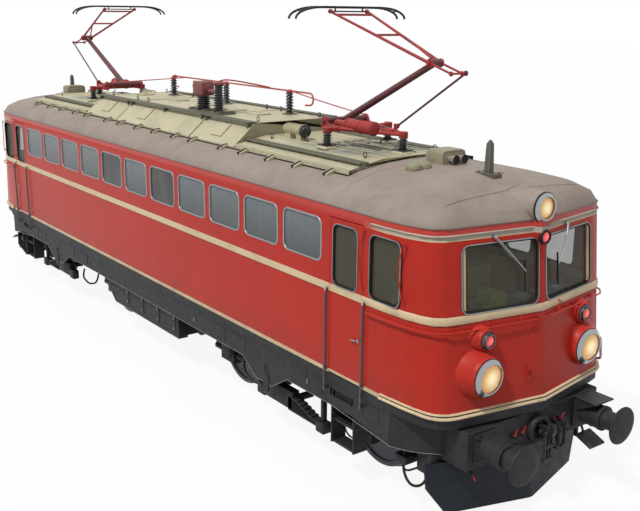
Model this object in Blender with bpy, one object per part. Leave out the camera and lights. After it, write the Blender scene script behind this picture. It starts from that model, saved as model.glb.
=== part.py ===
"""A four-axle electric locomotive on two bogies, modelled as separate sub-parts.

+X points to the front cab, +Y to the left side and +Z up. The origin is centred under the
locomotive at the lowest point of the wheel flanges. Lengths are in metres. Heights are above
the rail head, and up() turns them into heights above the origin.
"""

import math

import bmesh
import bpy
from mathutils import Vector

# Clearances
SEAT_GAP = 0.0003
PIN_GAP = 0.0006
SIDE_GAP = 0.0008
DOOR_GAP = 0.006
OVERRUN = 0.03

# Driving dimensions
BUFFER_LENGTH = 16.22
BUFFER_REACH = 0.62
BODY_WIDTH = 3.12
BODY_BOTTOM = 1.43
BODY_TOP = 3.46
PIVOT_X = 3.90
WHEELBASE = 3.40
WHEEL_RADIUS = 0.625
FLANGE_DEPTH = 0.028
HEADSTOCK_X = BUFFER_LENGTH / 2 - BUFFER_REACH
HALF_WIDTH = BODY_WIDTH / 2
AXLE_HEIGHT = WHEEL_RADIUS

# Body shell
WALL = 0.06
CAB_REAR_X = 6.056
NOSE_APEX_X = 7.58
NOSE_LEAN = 0.10
NOSE_V_SLOPE = 0.175
NOSE_FACE_Y = 1.14
FLANK_START_X = 6.43
FLANK_MID_X = 6.85
FLANK_MID_INSET = 0.03
CORNER_START_X = 7.10
CORNER_START_INSET = 0.07
CORNER_PULL_X = 7.35
CORNER_PULL_INSET = 0.11
CORNER_STEPS = 3

# Doors
DOOR_REAR_X = 5.42
DOOR_FRONT_X = 6.05
DOOR_THICK = 0.04
DOOR_HINGE_INSET = 0.012
DOOR_PIN_RADIUS = 0.009
DOOR_SILL_GAP = 0.018
DOOR_HEAD_GAP = 0.012
DOOR_WINDOW_REAR_X = 5.49
DOOR_WINDOW_FRONT_X = 5.95

# Windows
WINDOW_LOW = 2.62
WINDOW_HIGH = 3.38
WINDOW_CORNER = 0.09
GLASS = 0.012
CAB_WINDOW_REAR_X = 6.18
CAB_WINDOW_FRONT_X = 6.70
WINDSCREEN_INNER_Y = 0.07
WINDSCREEN_OUTER_Y = 1.11
SIDE_WINDOW_COUNT = 11
SIDE_WINDOW_PITCH = 0.965
SIDE_WINDOW_WIDTH = 0.83
SIDE_WINDOW_LOW = 2.84
SIDE_WINDOW_HIGH = 3.40
SIDE_WINDOW_CORNER = 0.10
SIDE_WINDOW_DEPTH = 0.022

# Lamps on the nose
HEADLAMP_Y = 0.88
HEADLAMP_Z = 1.89
HEADLAMP_RADIUS = 0.24
HEADLAMP_FRONT_X = 7.50
HEADLAMP_SPREAD = 1.25
TAIL_LAMP_Y = 0.85
TAIL_LAMP_Z = 2.31
TAIL_LAMP_RADIUS = 0.125
TAIL_LAMP_FRONT_X = 7.42
TAIL_LAMP_SPREAD = 1.3
TOP_LAMP_Z = 3.72
TOP_LAMP_RADIUS = 0.19
TOP_LAMP_FRONT_X = 7.385
HOOD_REAR_X = 6.80
HOOD_HALF = 0.26
MARKER_Z = 3.375
MARKER_RADIUS = 0.075
MARKER_FRONT_X = 7.43
WEDGE_FRONT_X = 7.425
WEDGE_LOW = 3.13
WEDGE_LOW_HALF = 0.012
WEDGE_HALF = 0.14
LAMP_STEPS = 16
LAMP_BEVEL = 0.025

# Fittings on the walls
LIP_OUT = 0.02
LIP_HEIGHT = 0.07
RAIL_RADIUS = 0.012
RAIL_OUT = 0.04
DOOR_RAIL_LOW = 1.20
DOOR_RAIL_HIGH = 2.56
DOOR_RAIL_GAP = 0.04
NOSE_RAIL_HEIGHT = 2.44
NOSE_RAIL_OUT = 0.045
NOSE_RAIL_INNER_Y = 0.12
LOOP_LOW = 1.56
LOOP_HIGH = 1.84
LOOP_Y = 1.30

# Roof
CANT_TOP = 3.59
DOME_RISE = 0.41
DOME_CENTRE_X = 6.00
DOME_STEPS = 5
HATCH_SEAT = 3.86
HATCH_HALF_WIDTH = 1.10
HATCH_ROW_X = -0.315
LONG_HATCH = 2.75
SHORT_HATCH = 1.39
HATCH_ROW_HALF = (LONG_HATCH * 3 + SHORT_HATCH * 2) / 2
HATCH_JOINT = 0.03
LOW_HATCH_TOP = 4.03
LOW_HATCH_EDGE = 3.93
HIGH_HATCH_TOP = 4.22
HIGH_HATCH_TOP_HALF = 0.72
HATCH_EDGE_HEIGHT = 0.04
ANTENNA_X = 6.50
ANTENNA_TOP = 4.39
ANTENNA_HALF = 0.042
ANTENNA_TOP_HALF = 0.032
ANTENNA_TIP = 0.045
ANTENNA_PLATE = 0.15
ANTENNA_PLATE_HALF = 0.07
ANTENNA_PLATE_TOP = 3.995
HORN_FRONT_X = 5.66
HORN_REAR_X = 6.15
HORN_BOX_Y = 0.10
HORN_BOX_LENGTH = 0.30
HORN_BOX_HALF = 0.20
HORN_BOX_TOP = 4.17
HORN_BOX_CORNER = 0.05
HORN_Z = 4.07
HORN_SPACING = 0.15
HORN_RADIUS = 0.055
HORN_THROAT = 0.03
HORN_LENGTH = 0.12
VENT_AHEAD = 0.09
VENT_Y = -0.45
VENT_RADIUS = 0.10
VENT_TOP = 4.06
VENT_SPACING = 0.16
WALKWAY_BAR = 0.06
WALKWAY_THICK = 0.02
LOW_WALKWAY_Y = 0.93
LOW_WALKWAY_TOP = 4.01
HIGH_WALKWAY_Y = 0.84
HIGH_WALKWAY_TOP = 4.24
WALKWAY_HEIGHT = 0.09
WALKWAY_PITCH = 0.90
CYLINDER_FRONT_X = 3.05
CYLINDER_REAR_X = 3.37
CYLINDER_Y = -0.40
CYLINDER_HALF = 0.26
CYLINDER_RADIUS = 0.075
CYLINDER_RISE = 0.14

# Underframe
FLOOR_BOTTOM = 1.31
SKIRT_BOTTOM = 0.99
SKIRT_THICK = 0.045
SKIRT_INSET = 0.015
SKIRT_END_X = 6.60
SKIRT_END_BOTTOM = 0.88
PAD_BOTTOM = 0.76
PAD_HALF = 0.205
PAD_SLOPE = 0.37
STEP_REAR_X = 5.44
STEP_FRONT_X = 5.91
STEP_HEIGHTS = (0.80, 0.49)
STEP_OUT_Y = 1.50
STEP_IN_Y = 1.30
PLATE_THICK = 0.025
STEP_SLOT_LOW = 1.12
STEP_SLOT_HIGH = 1.23
HEADSTOCK_HALF = 1.16
HEADSTOCK_LOW = 0.80
HEADSTOCK_HIGH = 1.28
HEADSTOCK_DEPTH = 0.44
PIVOT_RADIUS = 0.32

# Bogies, in plan about the pivot
SILL_OUT_Y = 1.10
SILL_IN_Y = 0.98
SILL_TOP = 1.06
SILL_BOTTOM = 0.82
SILL_BELLY = 0.66
SILL_END_X = 2.20
SILL_END_TOP = 0.98
SILL_SHOULDER_X = 1.25
SILL_BELLY_X = 1.00
TRANSOM_HALF = 0.52
TRANSOM_BOTTOM = 0.70
TRANSOM_TOP = 1.06
MOTOR_RADIUS = 0.38
MOTOR_HALF = 0.60
MOTOR_X = 0.86
MOTOR_Z = 0.68
MOTOR_STEPS = 12
AXLE_BOX_HALF = 0.19
AXLE_BOX_BOTTOM = 0.44
AXLE_BOX_IN_Y = 0.972
AXLE_BOX_OUT_Y = 1.13
WING_HALF = 0.44
WING_BOTTOM = 0.54
WING_TOP = 0.60
SPRING_X = 0.34
SPRING_RADIUS = 0.075
SPRING_STEPS = 8
SHOE_THICK = 0.05
SHOE_GAP = 0.015
SHOE_LOW = 0.50
SHOE_HIGH = 0.78
SHOE_IN_Y = 0.72
HANGER_TOP = 0.94
PIN_STEPS = 8

# Wheelsets, along the axle
JOURNAL_RADIUS = 0.075
JOURNAL_END_Y = 1.09
SHOULDER_Y = 0.962
AXLE_RADIUS = 0.10
HUB_RADIUS = 0.15
HUB_OUT_Y = 0.84
RIM_OUT_Y = 0.815
RIM_BACK_Y = 0.68
FLANGE_TIP_Y = 0.694
FLANGE_ROOT_Y = 0.712
RIM_IN_RADIUS = 0.545
WEB_OUT_Y = 0.765
WHEEL_STEPS = 16
BORE_STEPS = 10

# Buffers, screw coupling and plough
BUFFER_Y = 0.875
BUFFER_Z = 1.05
BUFFER_HEAD_RADIUS = 0.24
BUFFER_HEAD_THICK = 0.04
BUFFER_FLAT_RADIUS = 0.12
BUFFER_CROWN = 0.012
BUFFER_SLEEVE_RADIUS = 0.15
BUFFER_SLEEVE_LENGTH = 0.36
BUFFER_PLUNGER_RADIUS = 0.12
BUFFER_PLATE = 0.36
BUFFER_PLATE_THICK = 0.03
BUFFER_STEPS = 16
TREAD_LENGTH = 0.33
TREAD_HALF = 0.18
TREAD_TOP = 1.265
TREAD_THICK = 0.02
RING_OUTER = 0.175
RING_INNER = 0.115
RING_DEPTH = 0.09
COCK_RADIUS = 0.028
COCK_DEPTH = 0.09
HOSE_RADIUS = 0.016
HOSE_REACH = 0.10
HOSE_DROP = 0.34
HOOK_THICK = 0.06
HOOK_REACH = 0.30
HOOK_HEIGHT = 0.13
LINK_RADIUS = 0.018
LINK_HALF = 0.07
LINK_DROP = 0.34
BRAKE_COCKS = (
    # distance from the middle, whether a hose hangs from it
    (-0.42, False),
    (-0.28, False),
    (0.30, True),
    (0.40, True),
)
PLOUGH_APEX_X = 7.52
PLOUGH_END_X = 7.02
PLOUGH_END_Y = 1.35
PLOUGH_LOW = 0.12
PLOUGH_HIGH = 0.74
PLOUGH_RAKE = 0.10
PLOUGH_THICK = 0.03
PLOUGH_BRACKET_Y = 0.55
PLOUGH_BRACKET = 0.10
PLOUGH_CORNER_HIGH = 0.45
PLOUGH_CORNER_IN_Y = 1.13
SHUNT_STEP_LOW_Y = 1.00
SHUNT_STEP_HIGH_Y = 1.30
SHUNT_STEP_REAR = (7.34, 0.61)
SHUNT_STEP_FRONT = (7.58, 0.51)

# Equipment under the floor and inside the body
BOX_REAR_X = -1.90
BOX_SLOPE_X = -1.33
BOX_FRONT_X = 1.15
BOX_BOTTOM = 0.55
BOX_HALF_WIDTH = 1.44
LOCKER_IN_Y = 1.27
TANK_X = 1.33
TANK_Z = 0.74
TANK_RADIUS = 0.13
TANK_HALF = 1.20
TRANSFORMER_HALF_LENGTH = 1.55
TRANSFORMER_HALF_WIDTH = 1.05
TRANSFORMER_TOP = 3.00
BULKHEAD_X = 5.20
BULKHEAD_THICK = 0.05
FLOOR_BOARD = 0.012
FLOOR_BOARD_HALF = 1.42
DESK_REAR_X = 6.62
DESK_TOP = 2.42
DESK_FACE = 2.30
DESK_CLEAR = 0.07
SEAT_X = 6.05
SEAT_Y = 0.62
SEAT_HALF = 0.22
SEAT_TOP = 2.02
SEAT_THICK = 0.10
SEAT_BACK_TOP = 2.55
SEAT_POST_RADIUS = 0.05

# Pantographs, in plan along X for the front one
ARM_PIVOT_X = 3.70
ARM_PIVOT_Z = 4.36
ARM_LENGTH = 2.00
ARM_ANGLE = math.radians(26.05)
UPPER_LENGTH = 1.862
UPPER_ANGLE = math.radians(160.8)
CRANK_X = 0.384
CRANK_Z = -0.11
ROD_PIVOT_X = 4.643
ROD_PIVOT_Z = 4.352
ROD_Y = 0.16
ROD_RADIUS = 0.014
ROD_EYE = 0.034
ROD_EYE_THICK = 0.03
ARM_RADIUS = 0.052
ARM_TIP_RADIUS = 0.042
ARM_SHAFT_RADIUS = 0.045
ARM_SHAFT_HALF = 0.355
ARM_PIN_RADIUS = 0.026
CHEEK_THICK = 0.03
CHEEK_HALF = 0.06
CHEEK_TOP = 4.425
FRAME_TOP = 4.31
FRAME_BOTTOM = 4.25
FRAME_HALF = 0.035
FOOT_REAR_X = 4.00
FOOT_REAR_Y = 0.55
FOOT_FRONT_X = 4.95
INSULATOR_RADIUS = 0.075
INSULATOR_CORE = 0.045
INSULATOR_SHEDS = 3
PEDESTAL = 0.05
PEDESTAL_HALF = 0.11
DRIVE_Y = -0.21
DRIVE_Z = 4.33
DRIVE_RADIUS = 0.09
DRIVE_TUBE_RADIUS = 0.05
DRIVE_REAR_X = 3.76
DRIVE_MIDDLE_X = 3.98
DRIVE_FRONT_X = 4.62
KNEE_HUB_RADIUS = 0.05
KNEE_HUB_HALF = 0.078
KNEE_PIN_RADIUS = 0.02
KNEE_PLATE = 0.03
KNEE_PLATE_RADIUS = 0.055
UPPER_TUBE_RADIUS = 0.02
UPPER_TIP_Y = 0.33
UPPER_BRACE_SHARES = (0.52, 0.93)
TIP_EYE_RADIUS = 0.03
TIP_PIN_RADIUS = 0.013
HEAD_HALF = 0.975
HEAD_FLAT_HALF = 0.52
HEAD_RISE = 0.07
HORN_DROP = 0.17
HEAD_BOW_SPACING = 0.16
HEAD_BAR = 0.028
HEAD_BRACKET_Y = 0.24
HORN_STEPS = 5

# Apparatus on the roof
BUS_Y = 0.42
BUS_Z = 4.60
BUS_RADIUS = 0.018
BUS_HALF = 2.35
BUS_POST_SHARES = (-0.98, -0.13, 0.72)
BREAKER_X = 0.75
BREAKER_Y = -0.50
BREAKER_LENGTH = 1.00
BREAKER_WIDTH = 0.34
BREAKER_BASE = 0.03
BREAKER_SHED = 0.14
BREAKER_CORE = 0.09
BREAKER_POST = 0.26
BREAKER_HOUSING_HALF = 0.17
BREAKER_HOUSING_WIDE = 0.12
BREAKER_HOUSING_HIGH = 0.20
BREAKER_CONE = 0.14
BREAKER_CONE_RADIUS = 0.08
BREAKER_TALL_POST = 0.44
BREAKER_TALL_SHED = 0.10
BREAKER_TALL_CORE = 0.06
BREAKER_ARM_RADIUS = 0.04

FLAT_ANGLE = math.radians(0.05)
SHADE_ANGLE = math.radians(35)

MATERIALS = {
    # name: (red, green, blue), metallic, roughness
    "body_red": ((0.50, 0.030, 0.021), 0.0, 0.35),
    "roof_grey": ((0.30, 0.26, 0.22), 0.0, 0.6),
    "hatch_cream": ((0.57, 0.54, 0.33), 0.0, 0.55),
    "frame_charcoal": ((0.032, 0.032, 0.034), 0.0, 0.6),
    "steel": ((0.35, 0.35, 0.36), 1.0, 0.4),
    "glass": ((0.05, 0.06, 0.06), 0.0, 0.05),
    "panto_red": ((0.34, 0.04, 0.035), 0.0, 0.5),
    "cab_green": ((0.10, 0.22, 0.16), 0.0, 0.6),
    "transformer_grey": ((0.2, 0.2, 0.2), 0.2, 0.6),
}


def up(height):
    """A height above the rail, as a height above the origin."""
    return FLANGE_DEPTH + height


def clear_scene():
    for obj in list(bpy.data.objects):
        bpy.data.objects.remove(obj, do_unlink=True)


def make_materials():
    made = {}
    for name, (colour, metallic, roughness) in MATERIALS.items():
        material = bpy.data.materials.new(name)
        material.use_nodes = True
        shader = material.node_tree.nodes["Principled BSDF"]
        shader.inputs["Base Color"].default_value = (*colour, 1)
        shader.inputs["Metallic"].default_value = metallic
        shader.inputs["Roughness"].default_value = roughness
        material.diffuse_color = (*colour, 1)
        made[name] = material
    return made


def loft(rings):
    """The closed solid through rings of equally many points, capped at both ends."""
    count = len(rings[0])
    points = [point for ring in rings for point in ring]
    faces = [list(range(count))[::-1], [len(points) - count + i for i in range(count)]]
    for level in range(len(rings) - 1):
        low, high = level * count, (level + 1) * count
        for i in range(count):
            j = (i + 1) % count
            faces.append([low + i, low + j, high + j, high + i])
    return points, faces


def prism(outline, low, high, along="Z"):
    """An outline swept straight along one axis, its coordinates on the other two in X, Y, Z order."""
    order = {"X": (2, 0, 1), "Y": (0, 2, 1), "Z": (0, 1, 2)}[along]
    rings = []
    for level in (low, high):
        rings.append([tuple((a, b, level)[i] for i in order) for a, b in outline])
    return loft(rings)


def block(low, high):
    outline = [(low[0], low[1]), (high[0], low[1]), (high[0], high[1]), (low[0], high[1])]
    return prism(outline, low[2], high[2])


def spun(profile, centre, along, steps, phase=0.5):
    """A profile of (distance along the axis, radius) turned round an axis through the centre.

    The phase is the share of a step by which the first corner is turned from straight down.
    """
    order = {"X": (0, 1, 2), "Y": (1, 0, 2), "Z": (1, 2, 0)}[along]
    rings = []
    for distance, radius in profile:
        ring = []
        for k in range(steps):
            angle = math.tau * (k + phase) / steps - math.pi / 2
            local = (distance, radius * math.cos(angle), radius * math.sin(angle))
            ring.append(tuple(centre[i] + local[order[i]] for i in range(3)))
        rings.append(ring)
    return loft(rings)


def rod(start, end, radius, end_radius=None, sides=6):
    """A straight round bar, tapered where an end radius is given."""
    start, end = Vector(start), Vector(end)
    along = (end - start).normalized()
    across = along.cross(Vector((0, 1, 0)))
    if across.length < 1 / 2:
        across = along.cross(Vector((0, 0, 1)))
    across.normalize()
    third = along.cross(across)
    rings = []
    for centre, size in ((start, radius), (end, end_radius or radius)):
        angles = [math.tau * k / sides for k in range(sides)]
        rings.append([tuple(centre + (across * math.cos(a) + third * math.sin(a)) * size) for a in angles])
    return loft(rings)


def tube(path, radius, sides=5):
    """A round bar bent along a path of points."""
    path = [Vector(point) for point in path]
    steps = [(b - a).normalized() for a, b in zip(path, path[1:])]
    middle = sum(path, Vector()) / len(path)
    flat = (path[0] - middle).cross(path[-1] - middle)
    if flat.length < SEAT_GAP:
        flat = steps[0].cross(Vector((0, 0, 1)))
    flat.normalize()
    rings = []
    for point, before, after in zip(path, steps[:1] + steps, steps + steps[-1:]):
        ahead = (before + after).normalized()
        across = (flat - ahead * flat.dot(ahead)).normalized()
        third = ahead.cross(across)
        angles = [math.tau * k / sides for k in range(sides)]
        rings.append([tuple(point + (across * math.cos(a) + third * math.sin(a)) * radius) for a in angles])
    return loft(rings)


def rounded(low, high, corner, steps=2):
    """A rectangle from low to high with round corners, as an outline."""
    outline = []
    centres = (
        (high[0] - corner, high[1] - corner, 0),
        (low[0] + corner, high[1] - corner, 1),
        (low[0] + corner, low[1] + corner, 2),
        (high[0] - corner, low[1] + corner, 3),
    )
    for x, y, quarter in centres:
        for k in range(steps + 1):
            angle = math.pi / 2 * (quarter + k / steps)
            outline.append((x + corner * math.cos(angle), y + corner * math.sin(angle)))
    return outline


def mirrored(form, x_sign, y_sign):
    points, faces = form
    points = [(x * x_sign, y * y_sign, z) for x, y, z in points]
    if x_sign * y_sign < 0:
        faces = [face[::-1] for face in faces]
    return points, faces


def is_skewed(face):
    """Whether a face's corners lie off its plane by more than a trace of its size."""
    centre, normal = face.calc_center_median(), face.normal
    off = max(abs((vert.co - centre).dot(normal)) for vert in face.verts)
    return off > SEAT_GAP / 10


def raw_object(name, form, origin=(0, 0, 0)):
    points, faces = form
    mesh = bpy.data.meshes.new(name)
    mesh.from_pydata([Vector(p) - Vector(origin) for p in points], [], faces)
    work = bmesh.new()
    work.from_mesh(mesh)
    bmesh.ops.recalc_face_normals(work, faces=work.faces)
    skewed = [face for face in work.faces if is_skewed(face)]
    bmesh.ops.triangulate(work, faces=skewed)
    work.to_mesh(mesh)
    work.free()
    obj = bpy.data.objects.new(name, mesh)
    obj.location = origin
    bpy.context.scene.collection.objects.link(obj)
    return obj


def joined(forms):
    points, faces = [], []
    for more_points, more_faces in forms:
        start = len(points)
        points += more_points
        faces += [[start + i for i in face] for face in more_faces]
    return points, faces


def boolean(obj, forms, operation, origin):
    """Joins the forms to the object, or cuts them from it, and keeps the result as its mesh."""
    helper = raw_object(f"{obj.name}_{operation.lower()}", joined(forms), origin)
    helper.hide_render = True
    helper.display_type = "WIRE"
    modifier = obj.modifiers.new(operation.title(), "BOOLEAN")
    modifier.operation = operation
    modifier.use_self = operation == "UNION"
    modifier.object = helper
    bpy.context.view_layer.update()
    graph = bpy.context.evaluated_depsgraph_get()
    mesh = bpy.data.meshes.new_from_object(obj.evaluated_get(graph))
    obj.modifiers.remove(modifier)
    obj.data = mesh
    bpy.data.objects.remove(helper, do_unlink=True)


def merge_flat_faces(mesh):
    """Merges faces that lie in one plane, which the booleans leave in strips."""
    work = bmesh.new()
    work.from_mesh(mesh)
    bmesh.ops.dissolve_limit(work, angle_limit=FLAT_ANGLE, verts=work.verts, edges=work.edges)
    work.to_mesh(mesh)
    work.free()


def piece(name, forms, material, cuts=(), origin=(0, 0, 0), smooth=True):
    """One sub-part: the union of its forms, less its cuts, with its origin where it turns."""
    obj = raw_object(name, forms[0], origin)
    if len(forms) > 1:
        boolean(obj, forms[1:], "UNION", origin)
    if cuts:
        boolean(obj, cuts, "DIFFERENCE", origin)
    merge_flat_faces(obj.data)
    obj.data.materials.clear()
    obj.data.materials.append(PAINT[material])
    if smooth:
        obj.data.shade_smooth()
        obj.data.set_sharp_from_angle(angle=SHADE_ANGLE)
    return obj


def offset(path, distance):
    """An open path moved sideways to its right by a distance, with mitred corners."""
    moved = []
    for i, (x, y) in enumerate(path):
        normals = []
        for a, b in ((i - 1, i), (i, i + 1)):
            if a < 0 or b >= len(path):
                continue
            run = Vector((path[b][0] - path[a][0], path[b][1] - path[a][1])).normalized()
            normals.append(Vector((run.y, -run.x)))
        normal = sum(normals, Vector((0, 0))).normalized()
        reach = distance / normal.dot(normals[0])
        moved.append((x + normal.x * reach, y + normal.y * reach))
    return moved


def lean_at(height):
    return (height - BODY_BOTTOM) * NOSE_LEAN


def nose_x(y, height):
    """Where the nose's flat face lies at a distance from its middle line."""
    return NOSE_APEX_X - NOSE_V_SLOPE * abs(y) - lean_at(height)


def nose_path(height, rear_x):
    """The body's outline in plan, from its left side round the nose to its right side."""
    lean = lean_at(height)
    start = (CORNER_START_X - lean, HALF_WIDTH - CORNER_START_INSET)
    pull = (CORNER_PULL_X - lean, HALF_WIDTH - CORNER_PULL_INSET)
    end = (nose_x(NOSE_FACE_Y, height), NOSE_FACE_Y)
    half = [(rear_x, HALF_WIDTH), (FLANK_START_X, HALF_WIDTH)]
    half.append((FLANK_MID_X - lean / 2, HALF_WIDTH - FLANK_MID_INSET))
    for k in range(CORNER_STEPS + 1):
        t = k / CORNER_STEPS
        weights = ((1 - t) ** 2, 2 * t * (1 - t), t * t)
        half.append(tuple(sum(w * p[i] for w, p in zip(weights, (start, pull, end))) for i in (0, 1)))
    return half + [(nose_x(0, height), 0)] + [(x, -y) for x, y in reversed(half)]


def at_height(path, height):
    return [(x, y, up(height)) for x, y in path]


def make_body_shell(end, x_sign):
    """A cab shell with its lamp pods, its lip and rails, its windscreens and its side windows."""
    rings = []
    low, high = BODY_BOTTOM + SEAT_GAP, BODY_TOP - SEAT_GAP
    for height in (low, high):
        outer = nose_path(height, CAB_REAR_X)
        inner = offset(outer, WALL)
        rings.append(at_height(outer + inner[::-1], height))
    forms = [loft(rings), lip_form(low), lamp_pod(0, MARKER_Z, MARKER_RADIUS, MARKER_FRONT_X, 1)]
    forms.append(wedge_form(WEDGE_LOW, WEDGE_LOW_HALF, high, WEDGE_HALF))
    cuts = []
    for y_sign in (-1, 1):
        head = (HEADLAMP_Z, HEADLAMP_RADIUS, HEADLAMP_FRONT_X, HEADLAMP_SPREAD)
        tail = (TAIL_LAMP_Z, TAIL_LAMP_RADIUS, TAIL_LAMP_FRONT_X, TAIL_LAMP_SPREAD)
        forms.append(lamp_pod(HEADLAMP_Y * y_sign, *head))
        forms.append(lamp_pod(TAIL_LAMP_Y * y_sign, *tail))
        forms += [mirrored(form, 1, y_sign) for form in nose_rail_forms()]
        rail = door_rail_forms(DOOR_FRONT_X + WALL, up(BODY_BOTTOM))
        forms += [mirrored(form, 1, y_sign) for form in rail]
        cuts.append(windscreen_form(y_sign, 0, -OVERRUN - WALL, OVERRUN * 2))
        cuts.append(cab_window_form(y_sign, 0, HALF_WIDTH - WALL * 2, HALF_WIDTH + OVERRUN))
    forms.append(mirrored(corner_loop_form(), 1, x_sign))
    placed = [mirrored(form, x_sign, 1) for form in forms]
    piece(f"cab_shell_{end}", placed, "body_red", [mirrored(cut, x_sign, 1) for cut in cuts])
    for side, y_sign in (("right", -x_sign), ("left", x_sign)):
        pane = windscreen_form(y_sign, SEAT_GAP, -WALL / 2 - GLASS, -WALL / 2)
        piece(f"windscreen_{end}_{side}", [mirrored(pane, x_sign, 1)], "glass")
        middle = HALF_WIDTH - WALL / 2 - FLANK_MID_INSET / 2
        pane = cab_window_form(y_sign, SEAT_GAP, middle, middle + GLASS)
        piece(f"cab_window_{end}_{side}", [mirrored(pane, x_sign, 1)], "glass")


def lamp_pod(y, height, radius, front_x, spread):
    """A round lamp housing on the nose, spread outwards where it leaves it, with a bevelled rim."""
    grown = radius * (spread - 1)
    base_y, base_z = y + math.copysign(grown, y), up(height) + grown / 2
    base = []
    for _, across, rise in ring_points(base_y, base_z, radius * spread, radius * spread):
        x = nose_x(across, rise - up(0)) - WALL / 2
        base.append((x, across, rise))
    rings = [base]
    for x, size in ((front_x - LAMP_BEVEL, radius), (front_x, radius - LAMP_BEVEL)):
        rings.append([(x, across, rise) for _, across, rise in ring_points(y, up(height), size, size)])
    return loft(rings)


def ring_points(y, z, half_width, half_height):
    """An upright ellipse across the locomotive, at X zero."""
    angles = [math.tau * (k + 1 / 2) / LAMP_STEPS - math.pi / 2 for k in range(LAMP_STEPS)]
    return [(0, y + half_width * math.cos(a), z + half_height * math.sin(a)) for a in angles]


def hood_form():
    """The top lamp's housing, which widens towards the roof behind it."""
    rings = []
    for x, wide, high in (
        (HOOD_REAR_X, HOOD_HALF, TOP_LAMP_RADIUS),
        (TOP_LAMP_FRONT_X - LAMP_BEVEL, TOP_LAMP_RADIUS, TOP_LAMP_RADIUS),
        (TOP_LAMP_FRONT_X, TOP_LAMP_RADIUS - LAMP_BEVEL, TOP_LAMP_RADIUS - LAMP_BEVEL),
    ):
        rings.append([(x, y, z) for _, y, z in ring_points(0, up(TOP_LAMP_Z), wide, high)])
    return loft(rings)


def wedge_form(low, low_half, high, high_half):
    """The upright keel between the windscreens, which widens upwards to the top lamp."""
    rings = []
    for height, half in ((low, low_half), (high, high_half)):
        back = nose_x(0, height) - WALL / 2
        path = [(back, half), (back, -half), (WEDGE_FRONT_X, -half / 2), (WEDGE_FRONT_X, half / 2)]
        rings.append(at_height(path, height))
    return loft(rings)


def lip_form(low):
    """The bead round the foot of the nose."""
    rings = []
    for height in (low, BODY_BOTTOM + LIP_HEIGHT):
        wall = nose_path(height, CAB_REAR_X)[2:-2]
        rings.append(at_height(offset(wall, -LIP_OUT) + offset(wall, WALL / 2)[::-1], height))
    return loft(rings)


def nose_rail_forms():
    """Half of the rail round the nose under the belt, on short brackets."""
    wall = nose_path(NOSE_RAIL_HEIGHT, CAB_WINDOW_REAR_X)
    half = wall[: len(wall) // 2]
    half.append((nose_x(NOSE_RAIL_INNER_Y, NOSE_RAIL_HEIGHT), NOSE_RAIL_INNER_Y))
    rail = offset(half, -NOSE_RAIL_OUT)
    ends = [half[0], half[-1]]
    path = ends[:1] + rail + ends[1:]
    forms = [tube(at_height(path, NOSE_RAIL_HEIGHT), RAIL_RADIUS)]
    for k in (2, -2):
        start, end = at_height([half[k], rail[k]], NOSE_RAIL_HEIGHT)
        forms.append(rod(start, end, RAIL_RADIUS * 3 / 4, None, 5))
    return forms


def corner_loop_form():
    """The shunter's handle, a loop on the corner beside the headlamp."""
    path = []
    for height, out in ((LOOP_LOW, -WALL / 2), (LOOP_LOW, 0), (LOOP_HIGH, 0), (LOOP_HIGH, -WALL / 2)):
        lean = lean_at(height)
        path.append((CORNER_PULL_X - lean + out, LOOP_Y + RAIL_OUT * 2 + out / 2, up(height)))
    inner = [(path[0][0] - WALL, path[0][1] - WALL, path[0][2])]
    outer = [(path[-1][0] - WALL, path[-1][1] - WALL, path[-1][2])]
    return tube(inner + path[1:-1] + outer, RAIL_RADIUS)


def door_rail_forms(x, lowest_bracket):
    """An upright handrail beside a door, which reaches down to the skirt."""
    y = HALF_WIDTH + RAIL_OUT
    low, high = up(DOOR_RAIL_LOW), up(DOOR_RAIL_HIGH)
    forms = [rod((x, y, low), (x, y, high), RAIL_RADIUS, None, 6)]
    skirt = HALF_WIDTH - SKIRT_INSET + SEAT_GAP
    forms.append(block((x - RAIL_RADIUS, skirt, low), (x + RAIL_RADIUS, y, low + RAIL_RADIUS * 2)))
    for z in (lowest_bracket + RAIL_OUT, high - RAIL_OUT):
        start = (x - RAIL_RADIUS, HALF_WIDTH - WALL / 2, z)
        forms.append(block(start, (x + RAIL_RADIUS, y, z + RAIL_RADIUS * 2)))
    return forms


def windscreen_form(y_sign, inset, inner, outer):
    """A rounded plate in the plane of one half of the nose, between two depths from its face."""
    across = Vector((-NOSE_V_SLOPE, y_sign, 0)).normalized()
    upward = Vector((-NOSE_LEAN, 0, 1)).normalized()
    outward = across.cross(upward) if y_sign > 0 else upward.cross(across)
    outward.normalize()
    upward = outward.cross(across) if y_sign > 0 else across.cross(outward)
    middle_y = (WINDSCREEN_INNER_Y + WINDSCREEN_OUTER_Y) / 2
    middle_z = (WINDOW_LOW + WINDOW_HIGH) / 2
    centre = Vector((nose_x(middle_y, middle_z), middle_y * y_sign, up(middle_z)))
    half_width = (WINDSCREEN_OUTER_Y - WINDSCREEN_INNER_Y) / 2 / abs(across.y) - inset
    half_height = (WINDOW_HIGH - WINDOW_LOW) / 2 / upward.z - inset
    outline = rounded((-half_width, -half_height), (half_width, half_height), WINDOW_CORNER - inset)
    rings = []
    for depth in (inner, outer):
        rings.append([tuple(centre + across * a + upward * b + outward * depth) for a, b in outline])
    return loft(rings)


def cab_window_form(y_sign, inset, inner, outer):
    low = (CAB_WINDOW_REAR_X + inset, up(WINDOW_LOW) + inset)
    high = (CAB_WINDOW_FRONT_X - inset, up(WINDOW_HIGH) - inset)
    outline = rounded(low, high, WINDOW_CORNER - inset)
    return mirrored(prism(outline, inner, outer, "Y"), 1, y_sign)


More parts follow.
